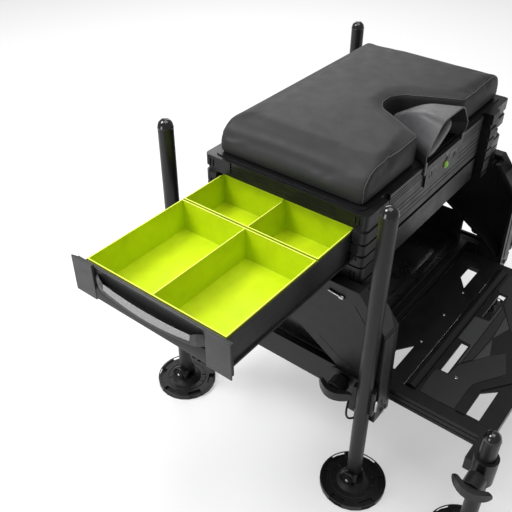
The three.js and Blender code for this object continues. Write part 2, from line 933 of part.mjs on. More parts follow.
// C-shaped slot: two short uprights under a bar.
function hookSlot(x, z, [front, back]) {
  const half = slotArm / 2;
  const bar = [x - half, x + half];
  const arms = [-half, half - slotWidth].map((offset) => {
    return block([x + offset, x + offset + slotWidth], [front, back], [z, z + slotArm]);
  });
  return joined(block(bar, [front, back], [z + slotArm - slotWidth, z + slotArm]), ...arms);
}

function bubbleLevel() {
  const front = -halfDepth - fitGap - plateThickness;
  const middle = drawerTop - plateDrop + levelRise;
  const round = circle(levelOffset, middle, levelRadius);
  return prismY(round, front - levelThickness / 2, front + levelThickness / 2);
}

// Drawer

function drawerBody() {
  const half = drawerWidth / 2;
  const low = drawerBottom;
  const top = low + drawerSideHeight;
  const bandLow = low + drawerRecessHeight;
  const outline = [
    [half + drawerLipOut, low],
    [half + drawerLipOut, low + drawerLipHeight],
    [half - drawerRecess, low + drawerLipHeight],
    [half - drawerRecess, bandLow],
    [half, bandLow],
    [half, top],
  ];
  const mirrorOutline = outline.map(([y, z]) => [-y, z]).reverse();
  const outside = prismX([...mirrorOutline, ...outline], drawerFrontBack + fitGap, drawerRear);
  const inner = half - drawerWall;
  const innerLow = inner - drawerRecess;
  const floor = low + drawerFloor;
  const hollow = [
    [innerLow, floor],
    [innerLow, bandLow + drawerWall],
    [inner, bandLow + drawerWall],
    [inner, top + overrun],
  ];
  const mirrorHollow = hollow.map(([y, z]) => [-y, z]).reverse();
  const front = drawerFrontBack + fitGap + drawerWall;
  return outside.subtract(prismX([...mirrorHollow, ...hollow], front, drawerRear - drawerWall));
}

// Outline in [y, z] of the finger pocket, with an arched top.
function pocketOutline(low, high) {
  const half = frontWidth / 2 - frontPlateWidth;
  const arch = bow([half, high - pocketRise], [0, high + pocketRise], [-half, high - pocketRise]);
  return [[-half, low], [half, low], ...arch];
}

function drawerFront() {
  const back = drawerFrontBack;
  const face = back - frontThickness;
  const low = drawerBottom;
  const top = low + frontHeight;
  const half = frontWidth / 2;
  const panel = block([face, back], [-half, half], [low, top]);
  const pocketShape = pocketOutline(low - overrun, top - pocketTopDrop);
  const pocket = prismX(pocketShape, face - overrun, face + pocketDepth);
  const grooves = [1, 2].map((count) => {
    const z = top - count * stripPitch;
    const reach = half - frontPlateWidth;
    const height = [z - stripGroove / 2, z + stripGroove / 2];
    return block([face - overrun, face + stripGroove], [-reach, reach], height);
  });
  return cut(panel, pocket, ...grooves);
}

function drawerHandle() {
  const root = drawerFrontBack - frontThickness + pocketDepth - fitGap;
  const edge = root - handleReach;
  const half = handleLength / 2;
  const bend = half - handleEndLength;
  const grip = bow([edge, -bend], [edge - 2 * handleBow, 0], [edge, bend]);
  const outline = [[root, -half], ...grip, [root, half]];
  const low = drawerBottom + handleRise;
  const bar = prismZ(outline, low, low + handleHeight);
  const lipShape = [
    [root, low + handleHeight - overrun],
    [root, low + handleHeight + handleHeadReach],
    [root - handleHeadReach, low + handleHeight],
  ];
  return bar.add(prismY(lipShape, -half + handleEndLength, half - handleEndLength));
}

// Frustum with a rectangular top: the sides lean in by draft degrees towards the bottom.
function taperedBox([left, right], [near, far], [low, high], draft) {
  const lean = (high - low) * Math.tan(THREE.MathUtils.degToRad(draft));
  const ring = (inset, z) => [
    [left + inset, near + inset, z],
    [right - inset, near + inset, z],
    [right - inset, far - inset, z],
    [left + inset, far - inset, z],
  ];
  return loft([ring(lean, low), ring(0, high)]);
}

// Open insert with a divider: two drafted cells side by side.
function insert(left, length) {
  const half = insertWidth / 2;
  const low = drawerBottom + drawerFloor + fitGap;
  const high = low + insertRim;
  const outer = taperedBox([left, left + length], [-half, half], [low, high], insertDraft);
  const cellX = [left + insertWall, left + length - insertWall];
  const cells = [[-half + insertWall, -insertWall / 2], [insertWall / 2, half - insertWall]];
  const hollows = cells.map((cellY) => {
    const hollow = taperedBox(cellX, cellY, [low, high], insertDraft);
    const floor = [low - overrun, low + insertWall];
    return hollow.subtract(block([left - overrun, left + length + overrun], [-half, half], floor));
  });
  return cut(outer, ...hollows);
}

// Base frame

// Profile in [x, z] of the left side rail: plain outside, open channel and ribs on top.
function sideRail(side) {
  const outer = -frameHalfLength;
  const inner = outer + sideRailWidth;
  const channelLeft = outer + channelInset;
  const channelRight = channelLeft + channelWidth;
  const points = [
    [outer, frameBottom],
    [inner, frameBottom],
    [inner, frameTop],
  ];
  const pitch = (inner - channelRight) / (channelRibs + 1);
  for (let i = 1; i <= channelRibs; i++) {
    const x = inner - i * pitch;
    points.push([x + fineGroove / 2, frameTop], [x + fineGroove / 2, frameTop - fineGrooveDepth]);
    points.push([x - fineGroove / 2, frameTop - fineGrooveDepth], [x - fineGroove / 2, frameTop]);
  }
  points.push([channelRight, frameTop], [channelRight, frameTop - channelDepth]);
  points.push([channelLeft, frameTop - channelDepth], [channelLeft, frameTop], [outer, frameTop]);
  const reach = heelY - fitGap;
  const rail = prismY(points, -reach, reach);
  return side < 0 ? rail : mirrored(rail, -1, 1);
}

const crossRailShares = [0.3, 0.62, 0.82];

// Front (side -1) or back rail of the base frame. The footplate's arms pass below the front rail's ends.
function crossRail(side) {
  const face = side * halfDepth;
  const back = side * (halfDepth - crossRailWidth);
  const reach = frameHalfLength - sideRailWidth - fitGap;
  const grooves = crossRailShares.map((share) => [share, 2 * fineGroove, 2 * fineGrooveDepth]);
  const rail = prismX(groovedProfile(face, back, frameBottom, frameTop, grooves), -reach, reach);
  if (side > 0) {
    return rail;
  }
  const inner = plateHalf - sideProfileWidth - slideGap;
  const [near, far] = [face - overrun, back + overrun];
  const notches = [-1, 1].map((end) => {
    const span = [end * inner, end * (reach + overrun)].sort((a, b) => a - b);
    return block(span, [near, far], [frameBottom - overrun, plateTop + slideGap]);
  });
  return cut(rail, ...notches);
}

// Dished tray: its floor lies between the rails, its flange on them, and its front wall is cut down.
function baseDeck() {
  const wellX = frameHalfLength - sideRailWidth - fitGap;
  const wellY = halfDepth - crossRailWidth - fitGap;
  const seat = frameTop + fitGap;
  const ring = (outset, z) => {
    const [x, y] = [wellX + outset, wellY + outset];
    return roundedRectangle(-x, x, -y, y, deckRadius).map(([across, along]) => [across, along, z]);
  };
  const slope = deckDraft / (deckSink + deckWall);
  const outside = loft([
    ring(-deckDraft, seat - deckSink),
    ring(0, seat),
    ring(deckFlange, seat),
    ring(deckFlange, seat + deckRise),
  ]);
  const inside = loft([
    ring(-deckDraft - deckWall / 2, seat - deckSink + deckWall),
    ring(-deckWall - slope, seat + deckWall),
    ring(deckFlange - deckWall, seat + deckWall),
    ring(deckFlange - deckWall, seat + deckRise + overrun),
  ]);
  const frontCut = block(
    [-wellX + deckRadius, wellX - deckRadius],
    [-wellY - deckFlange - overrun, -wellY - deckFlange + deckWall + overrun],
    [seat + deckFrontRise, seat + deckRise + overrun],
  );
  return cut(outside, inside, frontCut);
}

// Side casting: outer skin with a rim wall round it, an arch under it, and a ledge for the box.
function castingProfile(inset) {
  const half = [
    [-kneeTop + inset, castingTop - inset],
    [-kneeY + inset, kneeZ - inset / 2],
    [-toeY + inset, toeZ + inset],
    [-toeY + toeWidth - inset, toeZ + inset],
    [-toeY + toeWidth - inset, toeZ + toeHeight],
    [-heelY - inset / 2, heelZ + inset],
    [0, archZ + inset * archInsetShare],
  ];
  const other = half.slice(0, -1).reverse().map(([y, z]) => [-y, z]);
  return [...half, ...other];
}

function sideCasting() {
  const outer = -castingOuter;
  const inner = -castingInner;
  const whole = prismX(castingProfile(0), outer, inner);
  const hollow = prismX(castingProfile(castingWeb), outer + castingSkin, inner + overrun);
  const boxSpace = block(
    [-castingHalfLength - fitGap, inner + overrun],
    [-kneeTop - castingWeb, kneeTop + castingWeb],
    [boxUnderside - fitGap, castingTop + overrun],
  );
  const ledge = block(
    [outer + overrun, inner],
    [-kneeTop + castingWeb, kneeTop - castingWeb],
    [boxUnderside - fitGap - castingLedge, boxUnderside - fitGap],
  );
  const creases = [-1, 1].flatMap((side) => castingCreases(side));
  return cut(whole.subtract(hollow).add(ledge), boxSpace, ...creases);
}

// Fine lines pressed into the casting's face, beside its front edge and its arch.
function castingCreases(side) {
  const outer = -castingOuter;
  const depth = [outer - overrun, outer + creaseDepth];
  const frontEdge = [[-kneeTop, castingTop], [-kneeY, kneeZ]];
  const archEdge = [[-heelY, heelZ], [0, archZ]];
  const line = ([from, to], insetY, insetZ, fromShare, toShare) => {
    const at = (share) => [
      THREE.MathUtils.lerp(from[0], to[0], share) + insetY,
      THREE.MathUtils.lerp(from[1], to[1], share) + insetZ,
    ];
    const [y0, z0] = at(fromShare);
    const [y1, z1] = at(toShare);
    const strip = [[y0, z0], [y1, z1], [y1 + creaseWidth, z1], [y0 + creaseWidth, z0]];
    return prismX(strip.map(([y, z]) => [-side * y, z]), ...depth);
  };
  return [
    line(frontEdge, creaseInset, -creaseInset / 4, 0.35, 0.95),
    line(archEdge, 0, creaseInset, 0.05, 0.4),
  ];
}

// Leg clamp at the left front corner: a jaw that grips the leg from the inner side, its tail plate and the
// frame's corner.
function legBlock() {
  const face = -castingOuter - fitGap;
  const clampTop = clampBottom + clampHeight;
  const ring = prismZ(circle(-legX, -legY, clampRadius), clampBottom, clampTop);
  const tailMiddle = clampBottom + clampHeight - clampTailHeight / 2;
  const tailNear = -legY;
  const tail = prismX(
    roundedRectangle(
      tailNear, tailNear + clampTail, tailMiddle - clampTailHeight / 2, tailMiddle + clampTailHeight / 2,
      clampTailHeight / 4,
    ),
    face - clampTailThickness,
    face,
  );
  const corner = prismX([
    [-toeY, frameBottom],
    [-heelY, frameBottom],
    [-heelY, frameTop - fitGap],
    [-heelY - (frameTop - fitGap - toeZ - toeHeight) / 6, frameTop - fitGap],
    [-toeY + toeWidth + fitGap * 2, toeZ + toeHeight - fitGap],
    [-toeY + toeWidth + fitGap, toeZ - fitGap],
    [-toeY, toeZ - fitGap],
  ], face - clampTailThickness, -castingInner);
  const casting = prismX(castingProfile(-fitGap), -castingOuter - fitGap, -castingInner + overrun);
  const legHole = circle(-legX, -legY, legRadius + slideGap);
  const bore = prismZ(legHole, frameBottom - overrun, clampTop + overrun);
  const mouthReach = 2 * clampRadius;
  const mouth = prismZ(
    [[-legX, -legY], ...arc(-legX, -legY, mouthReach, clampMouthFrom, clampMouthTo, 2)],
    clampBottom - overrun,
    clampTop + overrun,
  );
  const stud = prismX(
    circle(-legY + knobSpacing, knobHeight, knobStudRadius + fitGap, pinSegments),
    face - clampTailThickness - overrun,
    face + overrun,
  );
  return cut(joined(ring, tail, corner), casting, bore, mouth, stud);
}

// Legs

function legTube(top) {
  const inner = legRadius - legWall;
  return turned([
    [0, legBottom],
    [legRadius, legBottom],
    [legRadius, top],
    [inner, top],
    [inner, legBottom + legRadius],
    [0, legBottom + legRadius],
  ]);
}

// Tongue under the leg that the foot turns on.
function legTongue() {
  const half = cheekGap / 2 - slideGap;
  const eye = prismX(circle(0, pivotHeight, cheekRadius - overrun, barSegments), -half, half);
  const neck = block(
    [-half, half],
    [-cheekRadius + overrun, cheekRadius - overrun],
    [pivotHeight, legBottom + overrun],
  );
  const bore = prismX(circle(0, pivotHeight, pivotRadius + slideGap, pinSegments), -cheekGap, cheekGap);
  return cut(joined(eye, neck), bore);
}

function legCap(top) {
  const stem = legRadius - legWall - fitGap;
  const ring = legRadius + capRingProud;
  const points = [
    [0, top - capStem],
    [stem, top - capStem],
    [stem, top + fitGap],
    [legRadius, top + fitGap],
    [ring, top + capRingHeight / 2],
    [legRadius, top + capRingHeight],
  ];
  const base = top + capRingHeight;
  for (let i = 1; i <= domeSteps; i++) {
    const angle = (i / domeSteps) * Math.PI / 2;
    const radius = i === domeSteps ? 0 : legRadius * Math.cos(angle);
    points.push([radius, base + (capHeight - capRingHeight) * Math.sin(angle)]);
  }
  return turned(points);
}

// Mud foot: dished disc with windows in its rim, cone, two cheeks, the pivot pin and its lobed knob.
function mudFoot(side) {
  const disc = turned([
    [0, 0],
    [footRadius, 0],
    [footRadius, footRimHeight],
    [footRadius - footRimWidth, footRimHeight],
    [footRadius - footRimWidth, footThickness],
    [footConeRadius, footThickness],
    [cheekRadius + cheekThickness, footConeHeight],
    [0, footConeHeight],
  ]);
  const windows = [];
  for (let i = 0; i < footWindows; i++) {
    const window = block(
      [-footWindowWidth / 2, footWindowWidth / 2],
      [footRadius - footRimWidth - footWindowDepth, footRadius + overrun],
      [footThickness - footWindowHeight, footRimHeight + overrun],
    );
    const geometry = toGeometry(window);
    geometry.rotateZ(((i + 0.5) / footWindows) * Math.PI * 2);
    windows.push(toSolid(geometry));
  }
  const cheeks = [-1, 1].map((end) => {
    const [left, right] = [end * cheekGap / 2, end * (cheekGap / 2 + cheekThickness)].sort((a, b) => a - b);
    const eye = prismX(circle(0, pivotHeight, cheekRadius, barSegments), left, right);
    return eye.add(block([left, right], [-cheekRadius, cheekRadius], [footThickness, pivotHeight]));
  });
  const relief = block(
    [-cheekGap / 2, cheekGap / 2],
    [-footConeRadius, footConeRadius],
    [pivotHeight - cheekRadius - overrun, footConeHeight + overrun],
  );
  const knobStart = cheekGap / 2 + cheekThickness - overrun;
  const knob = [knobStart, knobStart + footKnobLength].map((x) => side * x).sort((a, b) => a - b);
  const lobed = prismX(lobes(footKnobRadius, footKnobLobes, pivotHeight), ...knob);
  const pin = prismX(circle(0, pivotHeight, pivotRadius, pinSegments), -knobStart, knobStart);
  return joined(cut(disc, ...windows).subtract(relief), ...cheeks, pin, lobed);
}

// Knob outline in [y, z] whose edge swells and shrinks around a circle.
function lobes(radius, count, height) {
  const points = [];
  const steps = count * pointsPerLobe;
  for (let i = 0; i < steps; i++) {
    const angle = (i / steps) * Math.PI * 2;
    const reach = radius * (1 - lobeShare + lobeShare * Math.cos(angle * count));
    points.push([reach * Math.cos(angle), height + reach * Math.sin(angle)]);
  }
  return points;
}

// T-shaped knob on the X axis with its face at x = 0, pointing to -X.
function lockKnob() {
  const studLength = clampRadius - legRadius - 2 * slideGap;
  const stud = prismX(circle(0, 0, knobStudRadius, pinSegments), -knobCollarLength, studLength);
  const collar = prismX(circle(0, 0, knobCollarRadius, barSegments), -knobCollarLength, -fitGap);
  const hubEnd = -knobCollarLength - knobHubLength;
  const hubRound = circle(0, 0, knobHubRadius, hubSegments);
  const hub = prismX(hubRound, hubEnd - overrun, -knobCollarLength + overrun);
  const half = knobWingLength / 2;
  const end = knobWingWidth / 2;
  const oval = [
    ...arc(half - end, 0, end, -1, 1, 2 * roundSteps),
    ...arc(-half + end, 0, end, 1, 3, 2 * roundSteps),
  ];
  const [tip, middle] = [hubEnd + knobWingSweep / 2, hubEnd - knobWingSweep / 2];
  const crescent = [
    ...bow([tip, half], [2 * middle - tip - knobWingThickness, 0], [tip, -half]),
    ...bow([tip, -half + end], [hubEnd - knobWingSweep / 2, 0], [tip, half - end]),
  ];
  const blade = prismZ(crescent, -end, end);
  const wing = prismX(oval, hubEnd - 2 * knobWingSweep, tip + overrun).intersect(blade);
  return joined(stud, collar, hub, wing);
}

// Footplate

const profileShares = [0.3, 0.7];

// Side profile with its slide arm, which runs back under the base frame, and the front leg's clamp.
function footplateSide(side) {
  const low = plateTop - sideProfileHeight;
  const inner = -plateHalf + sideProfileWidth;
  const grooves = profileShares.map((share) => [share, 2 * fineGroove, fineGrooveDepth]);
  const profile = groovedProfile(-plateHalf, inner, low, plateTop, grooves);
  const bar = prismY(profile, -plateFront, armRear);
  const ring = prismZ(circle(-footplateLegX, -frontLegY, clampRadius), low, low + clampHeight);
  const reach = block(
    [-footplateLegX, -plateHalf + overrun],
    [-plateFront, -plateFront + clampRadius],
    [low, plateTop],
  );
  const legHole = circle(-footplateLegX, -frontLegY, legRadius + slideGap);
  const bore = prismZ(legHole, low - overrun, low + clampHeight + overrun);
  const stud = prismX(
    circle(-frontLegY, footplateKnobHeight(), knobStudRadius + fitGap, pinSegments),
    -footplateLegX - clampRadius - overrun,
    -footplateLegX,
  );
  const whole = cut(joined(bar, ring, reach), bore, stud);
  return side < 0 ? whole : mirrored(whole, -1, 1);
}

function footplateKnobHeight() {
  return plateTop - sideProfileHeight + clampHeight / 2;
}

function footplatePanel() {
  const low = plateTop - treadThickness;
  const half = plateHalf - sideProfileWidth - fitGap;
  const rearEdge = -barCenter - barRadius - fitGap;
  const tread = block([-half, half], [-plateFront, rearEdge], [low, plateTop]);
  const flange = block(
    [-half, half],
    [-plateFront, -plateFront + treadThickness],
    [plateTop - frontFlange, plateTop],
  );
  const slots = [-1, 1].flatMap((side) => treadSlots(side, low));
  const ridges = [-1, 1].map((side) => treadRidge(side));
  return joined(cut(joined(tread, flange), ...slots), ...ridges);
}

// Slots through the tread: a straight one near the bar and a slant-ended one near the front corner.
function treadSlots(side, low) {
  const through = [low - overrun, plateTop + overrun];
  const outline = (points) => points.map(([x, y]) => [side * x, -y]);
  const straight = rectangle(slotInner, slotOuter, slotNear, slotFar);
  const slant = cornerSlotFar - cornerSlotNear;
  const corner = [
    [cornerSlotInner, cornerSlotFar],
    [cornerSlotInner + slant, cornerSlotNear],
    [cornerSlotOuter, cornerSlotNear],
    [cornerSlotOuter, cornerSlotFar],
  ];
  return [prismZ(outline(straight), ...through), prismZ(outline(corner), ...through)];
}

// Raised ridge on the tread: straight beside the corner slot, then slanting to the front.
function treadRidge(side) {
  const start = plateHalf - sideProfileWidth - fitGap;
  const slant = cornerSlotFar - cornerSlotNear;
  const bend = cornerSlotInner + slant;
  const near = cornerSlotNear - ridgeWidth - overrun;
  const tip = cornerSlotInner - 2 * slant;
  const points = [
    [start, near],
    [bend - ridgeWidth / 2, near],
    [tip, cornerSlotFar + slant / 2],
    [tip + ridgeWidth, cornerSlotFar + slant / 2],
    [bend - ridgeWidth / 4, near + ridgeWidth],
    [start, near + ridgeWidth],
  ];
  return prismZ(points.map(([x, y]) => [side * x, -y]), plateTop - overrun, plateTop + ridgeHeight);
}

function footplateBar() {
  const reach = plateHalf - sideProfileWidth - fitGap;
  return prismX(circle(-barCenter, plateTop - barSink, barRadius, barSegments), -reach, reach);
}

// Apron fixed to the front rail, which reaches to the bar and has a slant-ended gap on either side.
function frontApron() {
  const low = plateTop - treadThickness;
  const half = plateHalf - sideProfileWidth - fitGap;
  const far = barCenter - barRadius - fitGap;
  const plate = block([-half, half], [-far, -halfDepth - fitGap], [low, plateTop]);
  const gap = [
    [apronGapInner + apronGapSlant, -apronGapNear],
    [apronGapInner, -apronGapFar],
    [apronGapOuter, -apronGapFar],
    [apronGapOuter, -apronGapNear],
  ];
  const gaps = [-1, 1].map((side) => {
    return prismZ(gap.map(([x, y]) => [side * x, y]), low - overrun, plateTop + overrun);
  });
  return cut(plate, ...gaps);
}

// The whole seat box
function seatBox() {
  const model = new THREE.Group();

  addPiece(model, 'side_rail_left', sideRail(-1), 'satinBlack');
  addPiece(model, 'side_rail_right', sideRail(1), 'satinBlack');
  addPiece(model, 'front_rail', crossRail(-1), 'satinBlack');
  addPiece(model, 'back_rail', crossRail(1), 'satinBlack');
  addPiece(model, 'front_apron', frontApron(), 'satinBlack');
  addPiece(model, 'base_deck', baseDeck(), 'deckBlack');
  addPiece(model, 'side_casting_left', sideCasting(), 'castBlack');
  addPiece(model, 'side_casting_right', mirrored(sideCasting(), -1, 1), 'castBlack');

  addPiece(model, 'base_unit', baseUnit(), 'satinBlack');
  addPiece(model, 'drawer_unit_front', drawerUnitRail(-1), 'satinBlack');
  addPiece(model, 'drawer_unit_back', drawerUnitBack(), 'satinBlack');
  addPiece(model, 'drawer_unit_end', drawerUnitEnd(), 'satinBlack');
  addPiece(model, 'seat_hinge_pin', hingePin(), 'steel');

  const seat = new THREE.Group();
  addPiece(seat, 'seat_frame', seatFrame(), 'satinBlack');
  addPiece(seat, 'cushion', cushion(), 'cushionVinyl');
  addPiece(seat, 'lifting_hood', liftingHood(), 'strapRubber');
  addPiece(seat, 'strap_plate', strapPlate(), 'mouldedBlack');
  addPiece(seat, 'bubble_level', bubbleLevel(), 'levelGreen');
  model.add(seat);

  const drawer = new THREE.Group();
  const firstInsert = drawerFrontBack + fitGap + drawerWall + fitGap;
  const secondInsert = firstInsert + frontInsertLength + insertGap;
  const thirdInsert = secondInsert + rearInsertLength + insertGap;
  addPiece(drawer, 'drawer_body', drawerBody(), 'drawerGrey');
  addPiece(drawer, 'drawer_front', drawerFront(), 'drawerGrey');
  addPiece(drawer, 'drawer_handle', drawerHandle(), 'handleGrey');
  addPiece(drawer, 'insert_front', insert(firstInsert, frontInsertLength), 'lime');
  addPiece(drawer, 'insert_middle', insert(secondInsert, rearInsertLength), 'lime');
  addPiece(drawer, 'insert_rear', insert(thirdInsert, rearInsertLength), 'lime');
  model.add(drawer);

  const footplate = new THREE.Group();
  addPiece(footplate, 'footplate_panel', footplatePanel(), 'satinBlack');
  addPiece(footplate, 'footplate_side_left', footplateSide(-1), 'satinBlack');
  addPiece(footplate, 'footplate_side_right', footplateSide(1), 'satinBlack');
  addPiece(footplate, 'footplate_bar', footplateBar(), 'satinBlack');
  model.add(footplate);

  const corners = [
    ['front_left', -1, -1],
    ['front_right', 1, -1],
    ['back_left', -1, 1],
    ['back_right', 1, 1],
  ];
  const cornerBlock = legBlock();
  for (const [place, x, y] of corners) {
    addPiece(model, `drawer_unit_corner_${place}`, drawerUnitCorner(x, y), 'castBlack');
    addPiece(model, `leg_block_${place}`, mirrored(cornerBlock, -x, -y), 'castBlack');
    addLeg(model, place, x, x * legX, y * legY, legTop);
    const knobX = x * (castingOuter + fitGap + clampTailThickness);
    addKnob(model, place, x, knobX, y * (legY - knobSpacing), knobHeight);
  }
  for (const [place, x] of [['footplate_left', -1], ['footplate_right', 1]]) {
    addLeg(model, place, x, x * footplateLegX, -frontLegY, frontLegTop);
    addKnob(model, place, x, x * (footplateLegX + clampRadius), -frontLegY, footplateKnobHeight());
  }
  return model;
}

function addLeg(model, place, side, x, y, top) {
  const leg = new THREE.Group();
  leg.position.set(x, y, 0);
  addPiece(leg, `leg_${place}`, legTube(top).add(legTongue()), 'tubeBlack');
  addPiece(leg, `leg_cap_${place}`, legCap(top), 'glossBlack');
  addPiece(leg, `mud_foot_${place}`, mudFoot(side), 'mouldedBlack');
  model.add(leg);
}

function addKnob(model, place, side, x, y, z) {
  const knob = addPiece(model, `knob_${place}`, lockKnob(), 'mouldedBlack');
  knob.position.set(x, y, z);
  knob.rotation.z = side < 0 ? 0 : Math.PI;
}

// The origin is on the floor, below the middle of the whole thing at rest, with the drawer out.
const seatBoxModel = seatBox();
const extent = new THREE.Box3().setFromObject(seatBoxModel);
const middle = extent.getCenter(new THREE.Vector3());
seatBoxModel.position.set(-middle.x, -middle.y, -extent.min.z);
seatBoxModel.updateMatrixWorld(true);

export default seatBoxModel;
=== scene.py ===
# Looks of the fishing seat box: materials, cushion, lifting strap, drawer front and the small fittings.
import json
import math

import bmesh
import bpy
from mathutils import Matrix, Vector
from mathutils.bvhtree import BVHTree


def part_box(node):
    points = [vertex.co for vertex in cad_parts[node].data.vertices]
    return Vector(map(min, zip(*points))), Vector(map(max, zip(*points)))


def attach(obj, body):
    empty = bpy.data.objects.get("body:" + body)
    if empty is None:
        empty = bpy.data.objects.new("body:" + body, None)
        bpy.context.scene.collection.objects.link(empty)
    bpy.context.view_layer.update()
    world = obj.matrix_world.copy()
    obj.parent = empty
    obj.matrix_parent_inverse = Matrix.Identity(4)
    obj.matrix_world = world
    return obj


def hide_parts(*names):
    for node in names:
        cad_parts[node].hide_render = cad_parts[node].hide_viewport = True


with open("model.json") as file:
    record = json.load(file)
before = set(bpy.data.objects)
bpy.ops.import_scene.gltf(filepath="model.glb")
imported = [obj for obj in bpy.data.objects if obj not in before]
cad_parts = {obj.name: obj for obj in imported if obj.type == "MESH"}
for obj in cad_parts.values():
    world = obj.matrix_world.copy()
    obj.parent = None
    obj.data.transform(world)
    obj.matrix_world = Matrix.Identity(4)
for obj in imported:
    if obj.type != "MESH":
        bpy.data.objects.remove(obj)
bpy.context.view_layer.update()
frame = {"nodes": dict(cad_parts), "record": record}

# Offset from the box's own middle to the shared frame, in metres
OFFSET_X = 0.1169
OFFSET_Y = 0.11635

# Camera at the photograph's angle, in metres
CAMERA_PLACE = (-1.0190, -0.4949, 1.2509)
CAMERA_AIM = (0.6240, 0.4926, -0.6067)
CAMERA_LENS = 48.77
SENSOR_WIDTH = 36

# Pale stage; the glow is the share of plain white in the floor as the camera and reflections see it
FLOOR_HALF = 40
FLOOR_INPUTS = {"Base Color": (0.93, 0.93, 0.935, 1), "Roughness": 0.9, "Specular IOR Level": 0.1}
FLOOR_GLOW = 0.4
WORLD_STRENGTH = 0.36
WHITE = (1, 1, 1, 1)
# Lights: place, target, width and height in metres, power in watts
LIGHTS = {
    "key": ((-1.2, 1.7, 2.9), (0.0, 0.1, 0.4), (1.2, 1.2), 74),
    "top": ((0.1, 0.0, 3.4), (0.1, 0.1, 0.4), (2.2, 2.2), 48),
    "back": ((2.1, 1.9, 2.0), (0.1, 0.1, 0.4), (2.0, 1.1), 24),
    "side": ((-2.6, 0.9, 1.0), (-0.1, 0.0, 0.4), (1.0, 1.0), 16),
}


def place(u, v, z):
    """Point in the shared frame from box-centred millimetres."""
    return Vector((u / 1000 + OFFSET_X, v / 1000 + OFFSET_Y, z / 1000))


def put_aimed(name, data, location, direction):
    """Puts a camera or a lamp in the scene, looking along a direction."""
    thing = bpy.data.objects.new(name, data)
    bpy.context.scene.collection.objects.link(thing)
    thing.location = location
    thing.rotation_mode = "QUATERNION"
    thing.rotation_quaternion = Vector(direction).normalized().to_track_quat("-Z", "Y")
    return thing


def fill(node, inputs):
    """Sets a node's inputs, and links those whose value is an output of another node."""
    for socket, value in inputs.items():
        if isinstance(value, bpy.types.NodeSocket):
            node.id_data.links.new(value, node.inputs[socket])
        else:
            node.inputs[socket].default_value = value
    return node


def make_camera():
    data = bpy.data.cameras.new("camera")
    data.lens = CAMERA_LENS
    data.sensor_width = SENSOR_WIDTH
    bpy.context.scene.camera = put_aimed("camera", data, CAMERA_PLACE, CAMERA_AIM)


def make_floor():
    mesh = bpy.data.meshes.new("floor")
    corners = [(x * FLOOR_HALF, y * FLOOR_HALF, 0) for x, y in ((-1, -1), (1, -1), (1, 1), (-1, 1))]
    mesh.from_pydata(corners, [], [(0, 1, 2, 3)])
    floor = bpy.data.objects.new("floor", mesh)
    bpy.context.scene.collection.objects.link(floor)
    material = bpy.data.materials.new("floor")
    material.use_nodes = True
    nodes = material.node_tree.nodes
    shader = fill(nodes["Principled BSDF"], FLOOR_INPUTS)
    plain = fill(nodes.new("ShaderNodeEmission"), {"Color": WHITE})
    rays = nodes.new("ShaderNodeLightPath").outputs
    seen = fill(nodes.new("ShaderNodeMath"), {0: rays["Is Camera Ray"], 1: rays["Is Glossy Ray"]})
    seen.operation = "MAXIMUM"
    share = fill(nodes.new("ShaderNodeMath"), {0: seen.outputs[0], 1: FLOOR_GLOW})
    share.operation = "MULTIPLY"
    mix = fill(nodes.new("ShaderNodeMixShader"), {
        "Fac": share.outputs[0], 1: shader.outputs[0], 2: plain.outputs[0],
    })
    fill(nodes["Material Output"], {"Surface": mix.outputs[0]})
    mesh.materials.append(material)


def make_lights():
    world = bpy.data.worlds.new("studio")
    bpy.context.scene.world = world
    world.use_nodes = True
    fill(world.node_tree.nodes["Background"], {"Color": WHITE, "Strength": WORLD_STRENGTH})
    for name, (location, target, (width, height), power) in LIGHTS.items():
        data = bpy.data.lights.new(name, "AREA")
        data.shape = "RECTANGLE"
        data.size = width
        data.size_y = height
        data.energy = power
        put_aimed(name, data, location, Vector(target) - Vector(location))
    bpy.context.scene.view_settings.view_transform = "Standard"


make_camera()
make_floor()
make_lights()


# Kinds of surface. A noise is its scale, detail, stretch and distortion, and with no detail it is a pattern of
# cells. A tint is a noise with the darkest and the lightest share of the colour, a sheen is a noise with the
# spread of the roughness, and a bump is a noise with its strength and its depth in metres
NOISE_RANGE = (0.3, 0.7)
EVEN = (1, 1, 1)


def moulded(grain, coat=0.0):
    """Injection-moulded plastic: slight flow marks and a fine spark-eroded grain."""
    return dict(specular=0.32, tint=((22, 3, EVEN, 0.4), 0.92, 1.08), sheen=((90, 2), 0.05),
                bumps=[((grain, 3), 0.14, 0.00015)], inputs={"Coat Weight": coat, "Coat Roughness": 0.08})


MOULDED = moulded(900)
FINE_MOULDED = moulded(1100)
GLOSS = moulded(300, 0.6)
# Anodised extrusion: faint draw lines along its length and a little grime in its sheen
EXTRUDED = dict(metallic=0.1, specular=0.32, tint=((9, 4), 0.88, 1.14), sheen=((35, 3), 0.06),
                bumps=[((420, 2, (0.05, 0.05, 1)), 0.12, 0.0002), ((2600, 2), 0.10, 0.0001)])
# Cast metal under a fine orange-peel powder coat
POWDER = dict(specular=0.32, tint=((14, 4), 0.85, 1.15), sheen=((60, 3), 0.07),
              bumps=[((1500, 3), 0.22, 0.0002), ((180, 2), 0.06, 0.0006)])
# Vacuum-formed sheet: glossy, with only a very fine texture and faint rub marks
SHEET = dict(tint=((6, 3), 0.85, 1.2), sheen=((18, 4, EVEN, 0.8), 0.05), bumps=[((2400, 2), 0.05, 0.0001)])
# Soft grained skin of the cushion: pebbles of half a millimetre, fine creases, dull sheen
VINYL = dict(specular=0.24, tint=((7, 5), 0.93, 1.07), sheen=((40, 3), 0.05),
             bumps=[((1500, None), 0.30, 0.00025), ((55, 4, EVEN, 0.6), 0.10, 0.0012)],
             inputs={"Sheen Weight": 0.02, "Sheen Roughness": 0.5})
